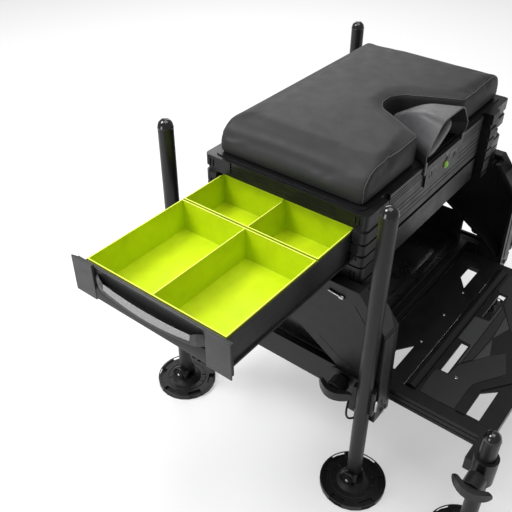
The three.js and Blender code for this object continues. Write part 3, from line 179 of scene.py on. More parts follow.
# Moulded strap rubber: smooth, a little mottled, with a satin shine
RUBBER = dict(tint=((18, 4, EVEN, 0.5), 0.86, 1.12), sheen=((70, 3), 0.06),
              bumps=[((800, 2), 0.10, 0.0002), ((38, 2), 0.08, 0.0015)])
# Handle bar: metallic paint with light flecks
SPECKLED = dict(metallic=0.35, tint=((1300, 4), 0.62, 1.35), tint_range=(0.40, 0.62),
                sheen=((300, 2), 0.08), bumps=[((1500, 2), 0.20, 0.0002)])
# Plated screws and pins, brushed across
STEEL = dict(metallic=1.0, tint=((60, 3), 0.9, 1.08), sheen=((500, 2, (1, 1, 0.1)), 0.06),
             bumps=[((900, 2, (1, 1, 0.08)), 0.10, 0.0001)])
# Coloured fluid of the bubble level behind its clear window
FLUID = dict(specular=0.4, tint=((260, 2), 0.75, 1.2), inputs={"Coat Weight": 0.5, "Coat Roughness": 0.12})


def make_material(name, color, roughness, tint, tint_range=NOISE_RANGE, sheen=None, bumps=(), metallic=0.0,
                  specular=0.5, inputs=None):
    material = bpy.data.materials.new(name)
    material.use_nodes = True
    nodes = material.node_tree.nodes
    coordinates = nodes.new("ShaderNodeTexCoord").outputs["Object"]

    def noise(scale, detail, stretch=EVEN, distortion=0.0):
        if detail is None:
            cells = fill(nodes.new("ShaderNodeTexVoronoi"), {"Vector": coordinates, "Scale": scale})
            return cells.outputs["Distance"]
        mapping = fill(nodes.new("ShaderNodeMapping"), {"Vector": coordinates, "Scale": stretch})
        values = {"Vector": mapping.outputs[0], "Scale": scale, "Detail": detail, "Distortion": distortion}
        return fill(nodes.new("ShaderNodeTexNoise"), values).outputs["Fac"]

    shader = fill(nodes["Principled BSDF"], {
        "Base Color": (*color, 1), "Roughness": roughness, "Metallic": metallic,
        "Specular IOR Level": specular, **(inputs or {}),
    })
    pattern, dark, light = tint
    ramp = fill(nodes.new("ShaderNodeValToRGB"), {"Fac": noise(*pattern)})
    for element, position, factor in zip(ramp.color_ramp.elements, tint_range, (dark, light)):
        element.position = position
        element.color = (*[c * factor for c in color], 1)
    fill(shader, {"Base Color": ramp.outputs["Color"]})
    if sheen:
        pattern, spread = sheen
        ranged = fill(nodes.new("ShaderNodeMapRange"), {
            "Value": noise(*pattern), "From Min": NOISE_RANGE[0], "From Max": NOISE_RANGE[1],
            "To Min": roughness - spread, "To Max": roughness + spread,
        })
        fill(shader, {"Roughness": ranged.outputs["Result"]})
    below = {}
    for pattern, strength, depth in bumps:
        values = {"Height": noise(*pattern), "Strength": strength, "Distance": depth, **below}
        below = {"Normal": fill(nodes.new("ShaderNodeBump"), values).outputs["Normal"]}
    fill(shader, below)
    return material


# Finishes: kind of surface, linear colour and roughness
FINISHES = {
    "satin_black": (EXTRUDED, (0.0075, 0.0075, 0.0080), 0.34),
    "cast_black": (POWDER, (0.0085, 0.0085, 0.0090), 0.40),
    "tube_black": (EXTRUDED, (0.013, 0.013, 0.0135), 0.34),
    "gloss_black": (GLOSS, (0.006, 0.006, 0.007), 0.12),
    "moulded_black": (MOULDED, (0.010, 0.010, 0.010), 0.36),
    "deck_black": (SHEET, (0.006, 0.006, 0.007), 0.30),
    "drawer_grey": (POWDER, (0.013, 0.013, 0.014), 0.38),
    "handle_grey": (SPECKLED, (0.150, 0.150, 0.158), 0.34),
    # Lighter speckled grey of the handle's upper facet: painted highlight
    "handle_highlight": (SPECKLED, (0.300, 0.295, 0.300), 0.34),
    "plate_grey": (POWDER, (0.042, 0.042, 0.044), 0.40),
    "lime": (FINE_MOULDED, (0.520, 0.660, 0.003), 0.44),
    # Lighter lime of the insert rims: painted highlight
    "lime_rim_highlight": (FINE_MOULDED, (0.780, 0.860, 0.110), 0.34),
    "cushion_vinyl": (VINYL, (0.024, 0.024, 0.025), 0.56),
    # Lighter vinyl of the seam piping: painted highlight along the seams
    "seam_piping": (VINYL, (0.075, 0.075, 0.076), 0.56),
    "strap_rubber": (RUBBER, (0.051, 0.051, 0.054), 0.42),
    # Near-black for the strap's inside and the recess behind the drawer handle: painted shade
    "painted_shade_black": (VINYL, (0.006, 0.006, 0.0065), 0.56),
    # Lighter rubber of the rolled tongue and the drawer front's fine lines: painted highlight
    "strap_roll_lit": (RUBBER, (0.100, 0.100, 0.104), 0.42),
    # Lighter grey on the casting ends: painted reflection of the pale surroundings
    "casting_reflection_grey": (POWDER, (0.040, 0.040, 0.041), 0.42),
    "tread_grey": (MOULDED, (0.020, 0.020, 0.0205), 0.44),
    "tread_light": (MOULDED, (0.050, 0.051, 0.052), 0.40),
    "level_green": (FLUID, (0.150, 0.620, 0.105), 0.30),
    "level_rim": (MOULDED, (0.640, 0.560, 0.060), 0.30),
    "steel": (STEEL, (0.46, 0.46, 0.47), 0.26),
}
materials = {
    name: make_material(name, color, roughness, **surface)
    for name, (surface, color, roughness) in FINISHES.items()
}

# Edges: doubled corners merge within a distance, edges over an angle stay sharp, and bevels have their widths
MERGE_DISTANCE = 0.00002
SHARP_DEGREES = 35
BEVEL_DEGREES = 36
EDGE_WIDTH = 0.0011
EDGE_WIDTHS = {"lime": 0.0004, "level_green": 0.0004, "drawer_grey": 0.0006}
SLAB_BEVEL = 0.0006
FINE_BEVEL = 0.0003


def shade_by_angle(piece, degrees):
    for polygon in piece.data.polygons:
        polygon.use_smooth = True
    piece.data.set_sharp_from_angle(angle=math.radians(degrees))


def bevelled(piece, width, segments=2, degrees=BEVEL_DEGREES, harden=False):
    bevel = piece.modifiers.new("bevel", "BEVEL")
    bevel.width = width
    bevel.segments = segments
    bevel.limit_method = "ANGLE"
    bevel.angle_limit = math.radians(degrees)
    bevel.harden_normals = harden
    return piece


def soft_shading_group():
    """Node group that merges doubled corners, smooths the faces and keeps steep edges sharp."""
    group = bpy.data.node_groups.new("soft_shading", "GeometryNodeTree")
    group.interface.new_socket("Geometry", in_out="INPUT", socket_type="NodeSocketGeometry")
    group.interface.new_socket("Geometry", in_out="OUTPUT", socket_type="NodeSocketGeometry")
    new = group.nodes.new
    start = new("NodeGroupInput").outputs[0]
    merge = fill(new("GeometryNodeMergeByDistance"), {"Geometry": start, "Distance": MERGE_DISTANCE})
    smooth = fill(new("GeometryNodeSetShadeSmooth"), {"Geometry": merge.outputs[0]})
    smooth.domain = "FACE"
    angle = new("GeometryNodeInputMeshEdgeAngle").outputs["Unsigned Angle"]
    compare = fill(new("FunctionNodeCompare"), {0: angle, 1: math.radians(SHARP_DEGREES)})
    compare.operation = "GREATER_THAN"
    sharp = fill(new("GeometryNodeSetShadeSmooth"), {"Geometry": smooth.outputs[0], "Shade Smooth": False})
    sharp.domain = "EDGE"
    fill(sharp, {"Selection": compare.outputs[0]})
    fill(new("NodeGroupOutput"), {0: sharp.outputs[0]})
    return group


def dress_nodes():
    """Gives each CAD solid its material, soft shading and rounded edges."""
    slots = {row["node"]: row["material_slot"] for row in frame["record"]["subparts"]}
    shading = soft_shading_group()
    for name, node in frame["nodes"].items():
        node.data.materials.clear()
        node.data.materials.append(materials[slots[name]])
        node.modifiers.new("shading", "NODES").node_group = shading
        bevelled(node, EDGE_WIDTHS.get(slots[name], EDGE_WIDTH), harden=True)


dress_nodes()


# Geometry helpers. Directions and the two sides are named once
UP = (0, 0, 1)
DOWN = (0, 0, -1)
FRONT = (0, -1, 0)
SIDES = ((-1, "left"), (1, "right"))


def new_piece(name, vertices, faces, material, body, smooth=0):
    mesh = bpy.data.meshes.new(name)
    mesh.from_pydata([tuple(v) for v in vertices], [], faces)
    mesh.validate()
    piece = bpy.data.objects.new(name, mesh)
    bpy.context.scene.collection.objects.link(piece)
    mesh.materials.append(materials[material])
    if smooth:
        shade_by_angle(piece, smooth)
    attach(piece, body)
    return piece


def face_outwards(piece, merge=0):
    """Turns a mesh's faces outwards, after merging corners that are closer than a distance."""
    mesh = bmesh.new()
    mesh.from_mesh(piece.data)
    if merge:
        bmesh.ops.remove_doubles(mesh, verts=mesh.verts, dist=merge)
    bmesh.ops.recalc_face_normals(mesh, faces=mesh.faces)
    mesh.to_mesh(piece.data)
    mesh.free()


def loft(loops, closed=False):
    """Vertices and faces of a skin through equally long loops of points, with two ends or in a closed ring."""
    count = len(loops[0])
    vertices = [point for ring in loops for point in ring]
    faces = []
    for i in range(len(loops) if closed else len(loops) - 1):
        n = (i + 1) % len(loops)
        for j in range(count):
            k = (j + 1) % count
            faces.append((i * count + j, i * count + k, n * count + k, n * count + j))
    if not closed:
        faces.append(tuple(reversed(range(count))))
        faces.append(tuple((len(loops) - 1) * count + j for j in range(count)))
    return vertices, faces


def lofted(name, loops, material, body, smooth=SHARP_DEGREES, turn=False, closed=False):
    """A piece whose skin runs through loops of box-centred points in millimetres."""
    vertices, faces = loft([[place(*point) for point in ring] for ring in loops], closed)
    piece = new_piece(name, vertices, faces, material, body)
    if turn:
        face_outwards(piece)
    if smooth:
        shade_by_angle(piece, smooth)
    return piece


def rectangle(left, right, near, far):
    return [(left, near), (right, near), (right, far), (left, far)]


def circle(sides):
    """Cosine and sine of each corner of a regular polygon."""
    angles = [2 * math.pi * k / sides for k in range(sides)]
    return [(math.cos(angle), math.sin(angle)) for angle in angles]


def axes_along(direction):
    """Unit directions along an axis and two across it."""
    along = Vector(direction).normalized()
    side = along.cross(Vector(UP))
    side = side.normalized() if side.length > 0.1 else Vector((1, 0, 0))
    return along, side, along.cross(side)


def ring_normals(outline):
    """Unit directions that point into an anticlockwise outline, one for each of its points."""
    count = len(outline)
    normals = []
    for i in range(count):
        before, here, after = outline[i - 1], outline[i], outline[(i + 1) % count]
        first = Vector((before[1] - here[1], here[0] - before[0])).normalized()
        second = Vector((here[1] - after[1], after[0] - here[0])).normalized()
        total = first + second
        normals.append(total.normalized() if total.length > 1e-6 else first)
    return normals


def arc_points(x, y, radius, start, end, steps):
    """Points on an arc, angles in degrees."""
    angles = [math.radians(start + (end - start) * i / steps) for i in range(steps + 1)]
    return [(x + radius * math.cos(angle), y + radius * math.sin(angle)) for angle in angles]


def resampled(points, step, closed=True):
    """The same line in even steps of about the given length."""
    ends = points + points[:1] if closed else points
    lengths = [math.dist(a, b) for a, b in zip(ends, ends[1:])]
    total = sum(lengths)
    count = max(3, round(total / step))
    result = []
    index, done = 0, 0.0
    for i in range(count if closed else count + 1):
        target = total * i / count
        while index < len(lengths) - 1 and done + lengths[index] < target:
            done += lengths[index]
            index += 1
        share = (target - done) / lengths[index] if lengths[index] else 0
        a, b = ends[index], ends[index + 1]
        result.append(tuple(a[k] + (b[k] - a[k]) * share for k in range(len(a))))
    return result


# Cushion, in box-centred millimetres
CUSHION_LENGTH = 551
CUSHION_DEPTH = 316
CUSHION_BASE = 619.4
CUSHION_THICKNESS = 63
CUSHION_CROWN = 3
CORNER_RADIUS = 10
END_RADIUS = 44
EDGE_RADIUS = 7
NOTCH_MOUTH = 186
NOTCH_END = 94
NOTCH_DEPTH = 118
NOTCH_U = -4
SKIN_STEP = 5.0
# Rings of the skin: share of the height and inset up the edge, insets over the edge, shares in to the spine
EDGE_RINGS = ((0.0, 3.6), (0.03, 2.0), (0.1, 0.9), (0.3, 0.15), (0.55, 0.0), (0.8, 0.05))
SHOULDER_INSETS = (0.0, 0.35, 1.0, 2.0, 3.4, 5.2, 7.4)
SPINE_SHARES = (0.03, 0.07, 0.12, 0.18, 0.25, 0.33, 0.42, 0.52, 0.63, 0.75, 0.87, 0.97)
# Cloth simulation in metres: the pad starts smaller by START_SHRINK mm, and no point moves more than the cap
START_SHRINK = 1.6
VOXEL_SIZE = 0.005
HELD_HEIGHT = 0.006
CLOTH_FRAMES = 20
CLOTH_CAP = 0.004
CLOTH = {
    "quality": 5, "mass": 0.3, "tension_stiffness": 40, "compression_stiffness": 40, "shear_stiffness": 20,
    "bending_stiffness": 5, "use_pressure": True, "uniform_pressure_force": 4, "vertex_group_mass": "held",
}
# Seams: insets in millimetres, radius of the piping and sizes of the stitches in metres. The piping's lighter
# vinyl is a painted highlight
SEAM_INSET = 2.0
STITCH_INSET = 7.5
PIPING_RADIUS = 0.0010
STITCH_PITCH = 0.0052
STITCH_SHARE = 0.68
STITCH_HALF = 0.00045
STITCH_LIFT = 0.0004


def notch_line():
    near = -CUSHION_DEPTH / 2
    radius = NOTCH_END / 2
    end = arc_points(NOTCH_U, near + NOTCH_DEPTH - radius, radius, 162, 18, 24)
    return [(NOTCH_U - NOTCH_MOUTH / 2, near), *end, (NOTCH_U + NOTCH_MOUTH / 2, near)]


def corner_arc(along, across, start, end, steps):
    """Arc round one corner of the cushion, on the given sides of its middle."""
    x, y = CUSHION_LENGTH / 2 - CORNER_RADIUS, CUSHION_DEPTH / 2 - CORNER_RADIUS
    return arc_points(along * x, across * y, CORNER_RADIUS, start, end, steps)


def cushion_outline():
    corners = ((1, -1, -90, 0), (1, 1, 0, 90), (-1, 1, 90, 180), (-1, -1, 180, 270))
    return notch_line() + [point for values in corners for point in corner_arc(*values, 8)]


def distance_to_line(point, line):
    least = math.inf
    for a, b in zip(line, line[1:]):
        ax, ay = a
        dx, dy = b[0] - ax, b[1] - ay
        share = ((point[0] - ax) * dx + (point[1] - ay) * dy) / (dx * dx + dy * dy)
        share = min(max(share, 0), 1)
        least = min(least, math.hypot(point[0] - ax - dx * share, point[1] - ay - dy * share))
    return least


def edge_drop(inset, radius):
    share = min(max(inset / radius, 0), 1)
    return radius * (1 - math.sqrt(share * (2 - share)))


def cushion_height(point, notch):
    end_inset = CUSHION_LENGTH / 2 - abs(point[0])
    side_inset = CUSHION_DEPTH / 2 - abs(point[1])
    edge_inset = min(side_inset, distance_to_line(point, notch))
    drop = edge_drop(end_inset, END_RADIUS) + edge_drop(edge_inset, EDGE_RADIUS)
    crown = min(max(side_inset / (CUSHION_DEPTH / 2), 0), 1)
    return CUSHION_THICKNESS - drop + CUSHION_CROWN * math.sin(crown * math.pi / 2)


def cushion_rings(shrink):
    """Loops of the cushion's skin from its base up over its edge and in to its spine."""
    notch = notch_line()
    outline = resampled(cushion_outline(), SKIN_STEP)
    normals = ring_normals(outline)

    def inward(distance):
        return [(p[0] + n.x * distance, p[1] + n.y * distance) for p, n in zip(outline, normals)]

    def raised(ring, heights):
        return [(*p, CUSHION_BASE + z) for p, z in zip(ring, heights)]

    edge = [cushion_height(p, notch) for p in outline]
    rings = [raised(inward(inset + shrink), [top * share for top in edge]) for share, inset in EDGE_RINGS]
    for inset in SHOULDER_INSETS:
        heights = [cushion_height(p, notch) - shrink for p in inward(inset)]
        rings.append(raised(inward(inset + shrink), heights))
    start = inward(SHOULDER_INSETS[-1])
    spine_y = CUSHION_DEPTH / 4
    spine_half = CUSHION_LENGTH / 2 - CUSHION_DEPTH / 4
    for share in SPINE_SHARES:
        ring = []
        for p in start:
            target = (min(max(p[0], -spine_half), spine_half), spine_y)
            q = (p[0] + (target[0] - p[0]) * share, p[1] + (target[1] - p[1]) * share)
            ring.append((*q, CUSHION_BASE + cushion_height(q, notch) - shrink))
        rings.append(ring)
    return rings


def relaxed_pad(piece):
    """Blows the pad up a little as cloth round foam, with its base held, and keeps each point near home."""
    scene = bpy.context.scene
    bpy.context.view_layer.update()
    remesh = piece.modifiers.new("remesh", "REMESH")
    remesh.mode = "VOXEL"
    remesh.voxel_size = VOXEL_SIZE
    apply_modifiers(piece)
    home = [v.co.copy() for v in piece.data.vertices]
    floor = min(point.z for point in home)
    held = piece.vertex_groups.new(name="held")
    held.add([i for i, point in enumerate(home) if point.z < floor + HELD_HEIGHT], 1.0, "REPLACE")
    cloth = piece.modifiers.new("cloth", "CLOTH")
    for setting, value in CLOTH.items():
        setattr(cloth.settings, setting, value)
    cloth.settings.effector_weights.gravity = 0
    cloth.point_cache.frame_start = 1
    cloth.point_cache.frame_end = CLOTH_FRAMES
    for number in range(1, CLOTH_FRAMES + 1):
        scene.frame_set(number)
    graph = bpy.context.evaluated_depsgraph_get()
    moved = [v.co.copy() for v in piece.evaluated_get(graph).data.vertices]
    piece.modifiers.remove(cloth)
    piece.vertex_groups.clear()
    scene.frame_set(1)
    for vertex, start, end in zip(piece.data.vertices, home, moved):
        way = end - start
        if way.length > CLOTH_CAP:
            way *= CLOTH_CAP / way.length
        vertex.co = start + way


def apply_modifiers(piece):
    graph = bpy.context.evaluated_depsgraph_get()
    mesh = bpy.data.meshes.new_from_object(piece.evaluated_get(graph), depsgraph=graph)
    piece.modifiers.clear()
    piece.data = mesh


def smoothed(piece, rounds):
    """Evens out a mesh a little without shrinking its crisp edges away."""
    modifier = piece.modifiers.new("smooth", "SMOOTH")
    modifier.iterations = rounds
    apply_modifiers(piece)


def make_cushion():
    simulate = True
    rings = cushion_rings(START_SHRINK if simulate else 0.0)
    piece = lofted("seat_cushion", rings, "cushion_vinyl", "seat", smooth=60)
    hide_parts("cushion")
    if simulate:
        relaxed_pad(piece)
        smoothed(piece, 3)
        for polygon in piece.data.polygons:
            polygon.use_smooth = True
    return piece


def tube(name, path, radius, material, body, sides):
    """A round bead along a path of points in the shared frame, as a mesh."""
    loops = []
    for i, point in enumerate(path):
        along = (path[min(i + 1, len(path) - 1)] - path[max(i - 1, 0)]).normalized()
        side = along.cross(Vector(UP))
        if side.length < 0.05:
            side = along.cross(Vector((0, 1, 0)))
        side.normalize()
        up = side.cross(along).normalized()
        loops.append([point + side * c * radius + up * s * radius for c, s in circle(sides)])
    new_piece(name, *loft(loops), material, body, smooth=80)


def inset_line(line, distance):
    """An open line moved to its left by a distance."""
    moved = []
    for i, p in enumerate(line):
        before = line[max(i - 1, 0)]
        after = line[min(i + 1, len(line) - 1)]
        along = Vector((after[0] - before[0], after[1] - before[1])).normalized()
        moved.append((p[0] - along.y * distance, p[1] + along.x * distance))
    return moved


def seam_lines():
    """Edges of the top panel, in order: the front one runs round the notch."""
    return {
        "front": corner_arc(-1, -1, 225, 270, 5) + notch_line() + corner_arc(1, -1, -90, -45, 5),
        "back": corner_arc(1, 1, 45, 90, 5) + corner_arc(-1, 1, 90, 135, 5),
    }


def on_skin(line, inset, skin):
    """The line, moved in from the edge, laid on the cushion's skin and led down to the base at its ends."""
    notch = notch_line()
    moved = inset_line(resampled(line, 3.0, closed=False), inset)
    path = [(*q, CUSHION_BASE + cushion_height(q, notch)) for q in moved]
    first, last = [
        [(u, v, CUSHION_BASE + share * (z - CUSHION_BASE)) for share in (0.05, 0.5)]
        for u, v, z in (path[0], path[-1])
    ]
    line = resampled(first + path + last[::-1], 2.5, closed=False)
    return [skin.find_nearest(place(*p))[0] for p in line]


def make_cushion_seams(cushion):
    graph = bpy.context.evaluated_depsgraph_get()
    skin = BVHTree.FromObject(cushion, graph)
    for name, line in seam_lines().items():
        piping = on_skin(line, SEAM_INSET, skin)
        tube("cushion_seam_" + name, piping, PIPING_RADIUS, "seam_piping", "seat", sides=6)
        make_stitches("cushion_stitches_" + name, on_skin(line, STITCH_INSET, skin), skin)


def make_stitches(name, path, skin):
    """A row of short thread stitches along a path on the cushion's skin."""
    line = resampled([tuple(p) for p in path], STITCH_PITCH, closed=False)
    vertices, faces = [], []
    for start, end in zip(line, line[1:]):
        a, b = Vector(start), Vector(end)
        b = a.lerp(b, STITCH_SHARE)
        along = (b - a).normalized()
        normal = skin.find_nearest(a)[1]
        side = along.cross(normal).normalized() * STITCH_HALF
        lift = normal * STITCH_LIFT
        base = len(vertices)
        for end_point, sink in ((a, -0.5), (a.lerp(b, 0.2), 0.8), (a.lerp(b, 0.8), 0.8), (b, -0.5)):
            vertices += [end_point - side, end_point + lift * sink, end_point + side]
        for k in range(3):
            row = base + k * 3
            faces += [(row, row + 1, row + 4, row + 3), (row + 1, row + 2, row + 5, row + 4)]
    new_piece(name, vertices, faces, "strap_rubber", "seat", smooth=80)


# Lifting strap, in box-centred millimetres. The share runs from its mouth (0) to its tip (1)
STRAP_U = -7
STRAP_MOUTH = -174.1
STRAP_LENGTH = 112
STRAP_BASE = 619.4
STRAP_SKIN = 3.0
STRAP_STEPS = 26
INNER_REACH = 0.965
STRAP_EASE = 0.16
FOLD_SOFTNESS = 15.0
FOLD_SHARPENS = 10.0
# Along the strap: share, half foot, half waist, half top, foot height, waist height, top height, lean
STRAP_SECTIONS = (
    (0.00, 80.0, 87.0, 43.0, 0.0, 24.0, 76.0, -5.0),
    (0.55, 46.0, 46.0, 24.0, 0.0, 24.0, 71.0, 0.0),
    (1.00, 10.0, 10.0, 5.0, 31.0, 35.5, 40.0, 0.0),
)
TAB_OUTER = 80
TAB_INNER = 72
TAB_BACK = -170.9
# Rolled tongue: where it starts, bends and ends, and its radius at shares of its length
ROLL_LINE = ((-66.0, -163.0, 631.0), (-34.0, -162.0, 631.0), (20.0, -161.0, 666.0))
ROLL_FLATNESS = 0.62
ROLL_RADII = {
    0.0: 0.2, 0.01: 5.5, 0.04: 8.0, 0.12: 9.5, 0.24: 10.5, 0.36: 11.5, 0.48: 12.0, 0.6: 12.4, 0.72: 12.6,
    0.82: 12.6, 0.89: 12.2, 0.94: 11.0, 0.975: 8.5, 0.995: 4.5, 1.0: 0.3,
}


def strap_values(share):
    """Sizes of the strap's section at a share of its length, eased where its straight stretches meet."""
    def straight(at):
        at = min(max(at, 0), 1)
        for low, high in zip(STRAP_SECTIONS, STRAP_SECTIONS[1:]):
            if at <= high[0]:
                part = (at - low[0]) / (high[0] - low[0])
                return [a + (b - a) * part for a, b in zip(low[1:], high[1:])]
        return list(STRAP_SECTIONS[-1][1:])

    reach = min(STRAP_EASE, share, 1 - share)
    samples = [straight(share + reach * k / 3) for k in range(-3, 4)]
    return [sum(column) / len(samples) for column in zip(*samples)]


def strap_section(share, inset):
    """Points of the arch from its right foot over the top to its left foot."""
    foot, waist, top, foot_z, waist_z, top_z, lean = strap_values(share)
    foot, waist = foot - inset, waist - inset
    top, top_z = top - inset * 0.5, top_z - inset
    y = STRAP_MOUTH + STRAP_LENGTH * share
    corner = Vector((top, top_z))
    low = Vector((waist, waist_z))
    down = low - corner
    soft = FOLD_SOFTNESS - FOLD_SHARPENS * share
    start = corner + down.normalized() * min(down.length * 0.42, soft)
    end = Vector((top - min(top * 0.55, soft), top_z))
    right = []
    for k in range(5):
        t = k / 5
        swell = math.sin(t * math.pi / 2)
        right.append(Vector((foot + (waist - foot) * swell, foot_z + (waist_z - foot_z) * t)))
    right += [low.lerp(start, k / 5) for k in range(5)]
    for k in range(9):
        t = k / 8
        right.append(start * (1 - t) ** 2 + corner * 2 * t * (1 - t) + end * t * t)
    middle = Vector((0, top_z))
    right += [end.lerp(middle, k / 4) for k in range(1, 4)]
    left = [Vector((-p.x, p.y)) for p in reversed(right)]
    height = top_z - foot_z
    return [
        place(STRAP_U + p.x, y + lean * (p.y - foot_z) / height, STRAP_BASE + p.y)
        for p in (*right, middle, *left)
    ]


def make_hood():
    """The strap's arch, its inner faces painted near-black as painted shade, and the two tabs that hold its
    feet.
    """
    steps = STRAP_STEPS
    outer = [strap_section(k / steps, 0) for k in range(steps + 1)]
    inner = [strap_section(k / steps * INNER_REACH, STRAP_SKIN) for k in range(steps + 1)]
    count = len(outer[0])
    rows = outer + inner[::-1]
    vertices = [p for row in rows for p in row]
    faces = []
    for i in range(len(rows) - 1):
        for j in range(count - 1):
            a = i * count + j
            faces.append((a, a + 1, a + count + 1, a + count))
    last = (len(rows) - 1) * count
    for j in range(count - 1):
        faces.append((last + j, last + j + 1, j + 1, j))
    for edge in (0, count - 1):
        for i in range(steps):
            a, b = i * count + edge, (i + 1) * count + edge
            c, d = (len(rows) - 2 - i) * count + edge, (len(rows) - 1 - i) * count + edge
            faces.append((a, b, c, d) if edge == 0 else (d, c, b, a))
    hood = new_piece("lifting_strap", vertices, faces, "strap_rubber", "seat")
    # The inner faces get the near-black painted shade
    hood.data.materials.append(materials["painted_shade_black"])
    for index in range((steps + 1) * (count - 1), (2 * steps + 1) * (count - 1)):
        hood.data.polygons[index].material_index = 1
    face_outwards(hood, merge=0.00001)
    shade_by_angle(hood, 40)
    bevelled(hood, EDGE_WIDTH, segments=3, degrees=50)
    for piece in (hood, *[make_strap_tab(side, word) for side, word in SIDES]):
        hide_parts("lifting_hood")


def slab(name, outline, low, high, axis, material, body, bevel=SLAB_BEVEL):
    """A plate between two heights on an axis, from an outline in the other two axes, in millimetres."""
    def point(p, level):
        values = list(p)
        values.insert("xyz".index(axis), level)
        return values

    loops = [[point(p, level) for p in outline] for level in (low, high)]
    piece = lofted(name, loops, material, body, turn=True)
    return bevelled(piece, bevel) if bevel else piece


def make_strap_tab(side, word):
    """End of the strap that comes down the front of the seat unit, with a shallow point at its foot."""
    outer, inner = STRAP_U + side * TAB_OUTER, STRAP_U + side * TAB_INNER
    points = [(outer, 598.5), (outer, 624.0), (inner, 624.0), (inner, 598.5), ((outer + inner) / 2, 597.1)]
    return slab("strap_tab_" + word, points, STRAP_MOUTH, TAB_BACK, "y", "strap_rubber", "seat")


def make_strap_roll():
    """Rolled tongue inside the strap: it starts at the left foot and leans over to the right, its rubber
    painted lighter than the strap's as a highlight.
    """
    start, bend, end = (Vector(point) for point in ROLL_LINE)
    side = Vector(FRONT)
    loops = []
    for share, radius in ROLL_RADII.items():
        centre = start * (1 - share) ** 2 + bend * 2 * share * (1 - share) + end * share ** 2
        along = ((bend - start) * (1 - share) + (end - bend) * share).normalized()
        up = along.cross(side).normalized()
        loops.append([centre + (side * c * radius * ROLL_FLATNESS + up * s * radius) for c, s in circle(20)])
    lofted("strap_roll_lit", loops, "strap_roll_lit", "seat", smooth=70)


# Rims of the lime inserts, in millimetres; their lighter lime is a painted highlight
RIM_WIDTH = 2.2
RIM_HEIGHT = 0.8
RIM_SINK = 0.2
DIVIDER_HALF = 1
DIVIDER_RISE = 0.4


def make_insert_rims():
    """Rolled rims of the lime inserts and the tops of their dividers, in a lighter lime as painted highlights.
    """
    for name in ("insert_front", "insert_middle", "insert_rear"):
        low, high = (Vector(corner) * 1000 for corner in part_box(name))
        left, right = low.x - OFFSET_X * 1000, high.x - OFFSET_X * 1000
        near, far = low.y - OFFSET_Y * 1000, high.y - OFFSET_Y * 1000
        base = high.z - RIM_SINK
        loops = []
        for inset, rise in ((0, 0), (0, RIM_HEIGHT), (RIM_WIDTH, RIM_HEIGHT), (RIM_WIDTH, 0)):
            corners = rectangle(left + inset, right - inset, near + inset, far - inset)
            loops.append([(u, v, base + rise) for u, v in corners])
        bevelled(lofted(name + "_rim", loops, "lime_rim_highlight", "drawer", smooth=30, closed=True), FINE_BEVEL)
        middle = (near + far) / 2
        strip = rectangle(left + 2, right - 2, middle - DIVIDER_HALF, middle + DIVIDER_HALF)
        top = high.z + DIVIDER_RISE
        slab(name + "_divider_rim", strip, base, top, "z", "lime_rim_highlight", "drawer", FINE_BEVEL)


def lathe(name, centre, direction, profile, material, body, sides, smooth=SHARP_DEGREES):
    """A turned piece: its profile gives radius and height in millimetres along a direction."""
    along, side, up = axes_along(direction)
    centre = Vector(centre)
    loops = [
        [centre + (side * c * radius + up * s * radius) + along * height for c, s in circle(sides)]
        for radius, height in profile
    ]
    return lofted(name, loops, material, body, smooth)


def socket_screw(name, centre, direction, radius, material, body):
    """Button-head screw with a round socket."""
    head = ((0.94, 0.26), (0.78, 0.44), (0.55, 0.52), (0.50, 0.50), (0.44, 0.18))
    profile = [(radius * 0.96, -0.2), (radius, 0.4), *[(radius * out, radius * rise) for out, rise in head]]
    lathe(name, centre, direction, profile, material, body, sides=18)


def hex_bolt(name, centre, direction, radius, height):
    """Steel bolt head of the leg clamps."""
    profile = [
        (radius * 0.98, -0.3), (radius, 0.3), (radius, height * 0.8), (radius * 0.88, height),
        (radius * 0.3, height),
    ]
    bevelled(lathe(name, centre, direction, profile, "steel", "frame", sides=6, smooth=20), FINE_BEVEL)


def ring_piece(name, centre, direction, inner, outer, low, high, material, body, sides=36):
    """A flat ring with rounded edges on an axis, in millimetres."""
    soft = min(outer - inner, high - low) * 0.2
    profile = [
        (inner + soft, low), (outer - soft, low), (outer, low + soft), (outer, high - soft),
        (outer - soft, high), (inner + soft, high), (inner, high - soft), (inner, low + soft),
    ]
    along, side, up = axes_along(direction)
    loops = [
        [Vector(centre) + (side * c + up * s) * radius + along * height for radius, height in profile]
        for c, s in circle(sides)
    ]
    lofted(name, loops, material, body, smooth=50, closed=True)


# Small fittings, in box-centred millimetres
APRON_FACE = -234.8
TREAD_TOP = 227.0
CASTING_FACE = 317.5
CASTING_SCREWS = ((-214, 432), (214, 432), (-60, 462), (60, 462))
PIN_START = (-317.5, -131, 460.4)
PIN_END = (-317.5, -158, 456.6)
PIN_PROUD = 2.4
PIN_PROFILE = (
    (0.3, -1.6), (1.7, -1.0), (2.2, 0.4), (2.2, 22.0), (3.6, 23.0), (3.9, 26.0), (3.6, 31.0), (1.2, 33.0),
)


def make_small_fittings():
    """Screws in the tread, the apron and the castings, and the bright pin on the left casting."""
    for side, word in SIDES:
        socket_screw("tread_screw_" + word, (side * 150, -336.5, TREAD_TOP), UP, 4.2, "steel", "footplate")
        socket_screw("apron_screw_" + word, (side * 100, APRON_FACE, TREAD_TOP), UP, 3.2, "steel", "frame")
        for number, (v, z) in enumerate(CASTING_SCREWS):
            name = f"casting_screw_{word}_{number}"
            socket_screw(name, (side * CASTING_FACE, v, z), (side, 0, 0), 3.6, "gloss_black", "frame")
    socket_screw("apron_screw_middle", (5.1, APRON_FACE, TREAD_TOP), UP, 3.2, "steel", "frame")
    start, end = Vector(PIN_START), Vector(PIN_END)
    along = (end - start).normalized()
    lathe("casting_pin", start - Vector((PIN_PROUD, 0, 0)), along, PIN_PROFILE, "steel", "frame", sides=16)


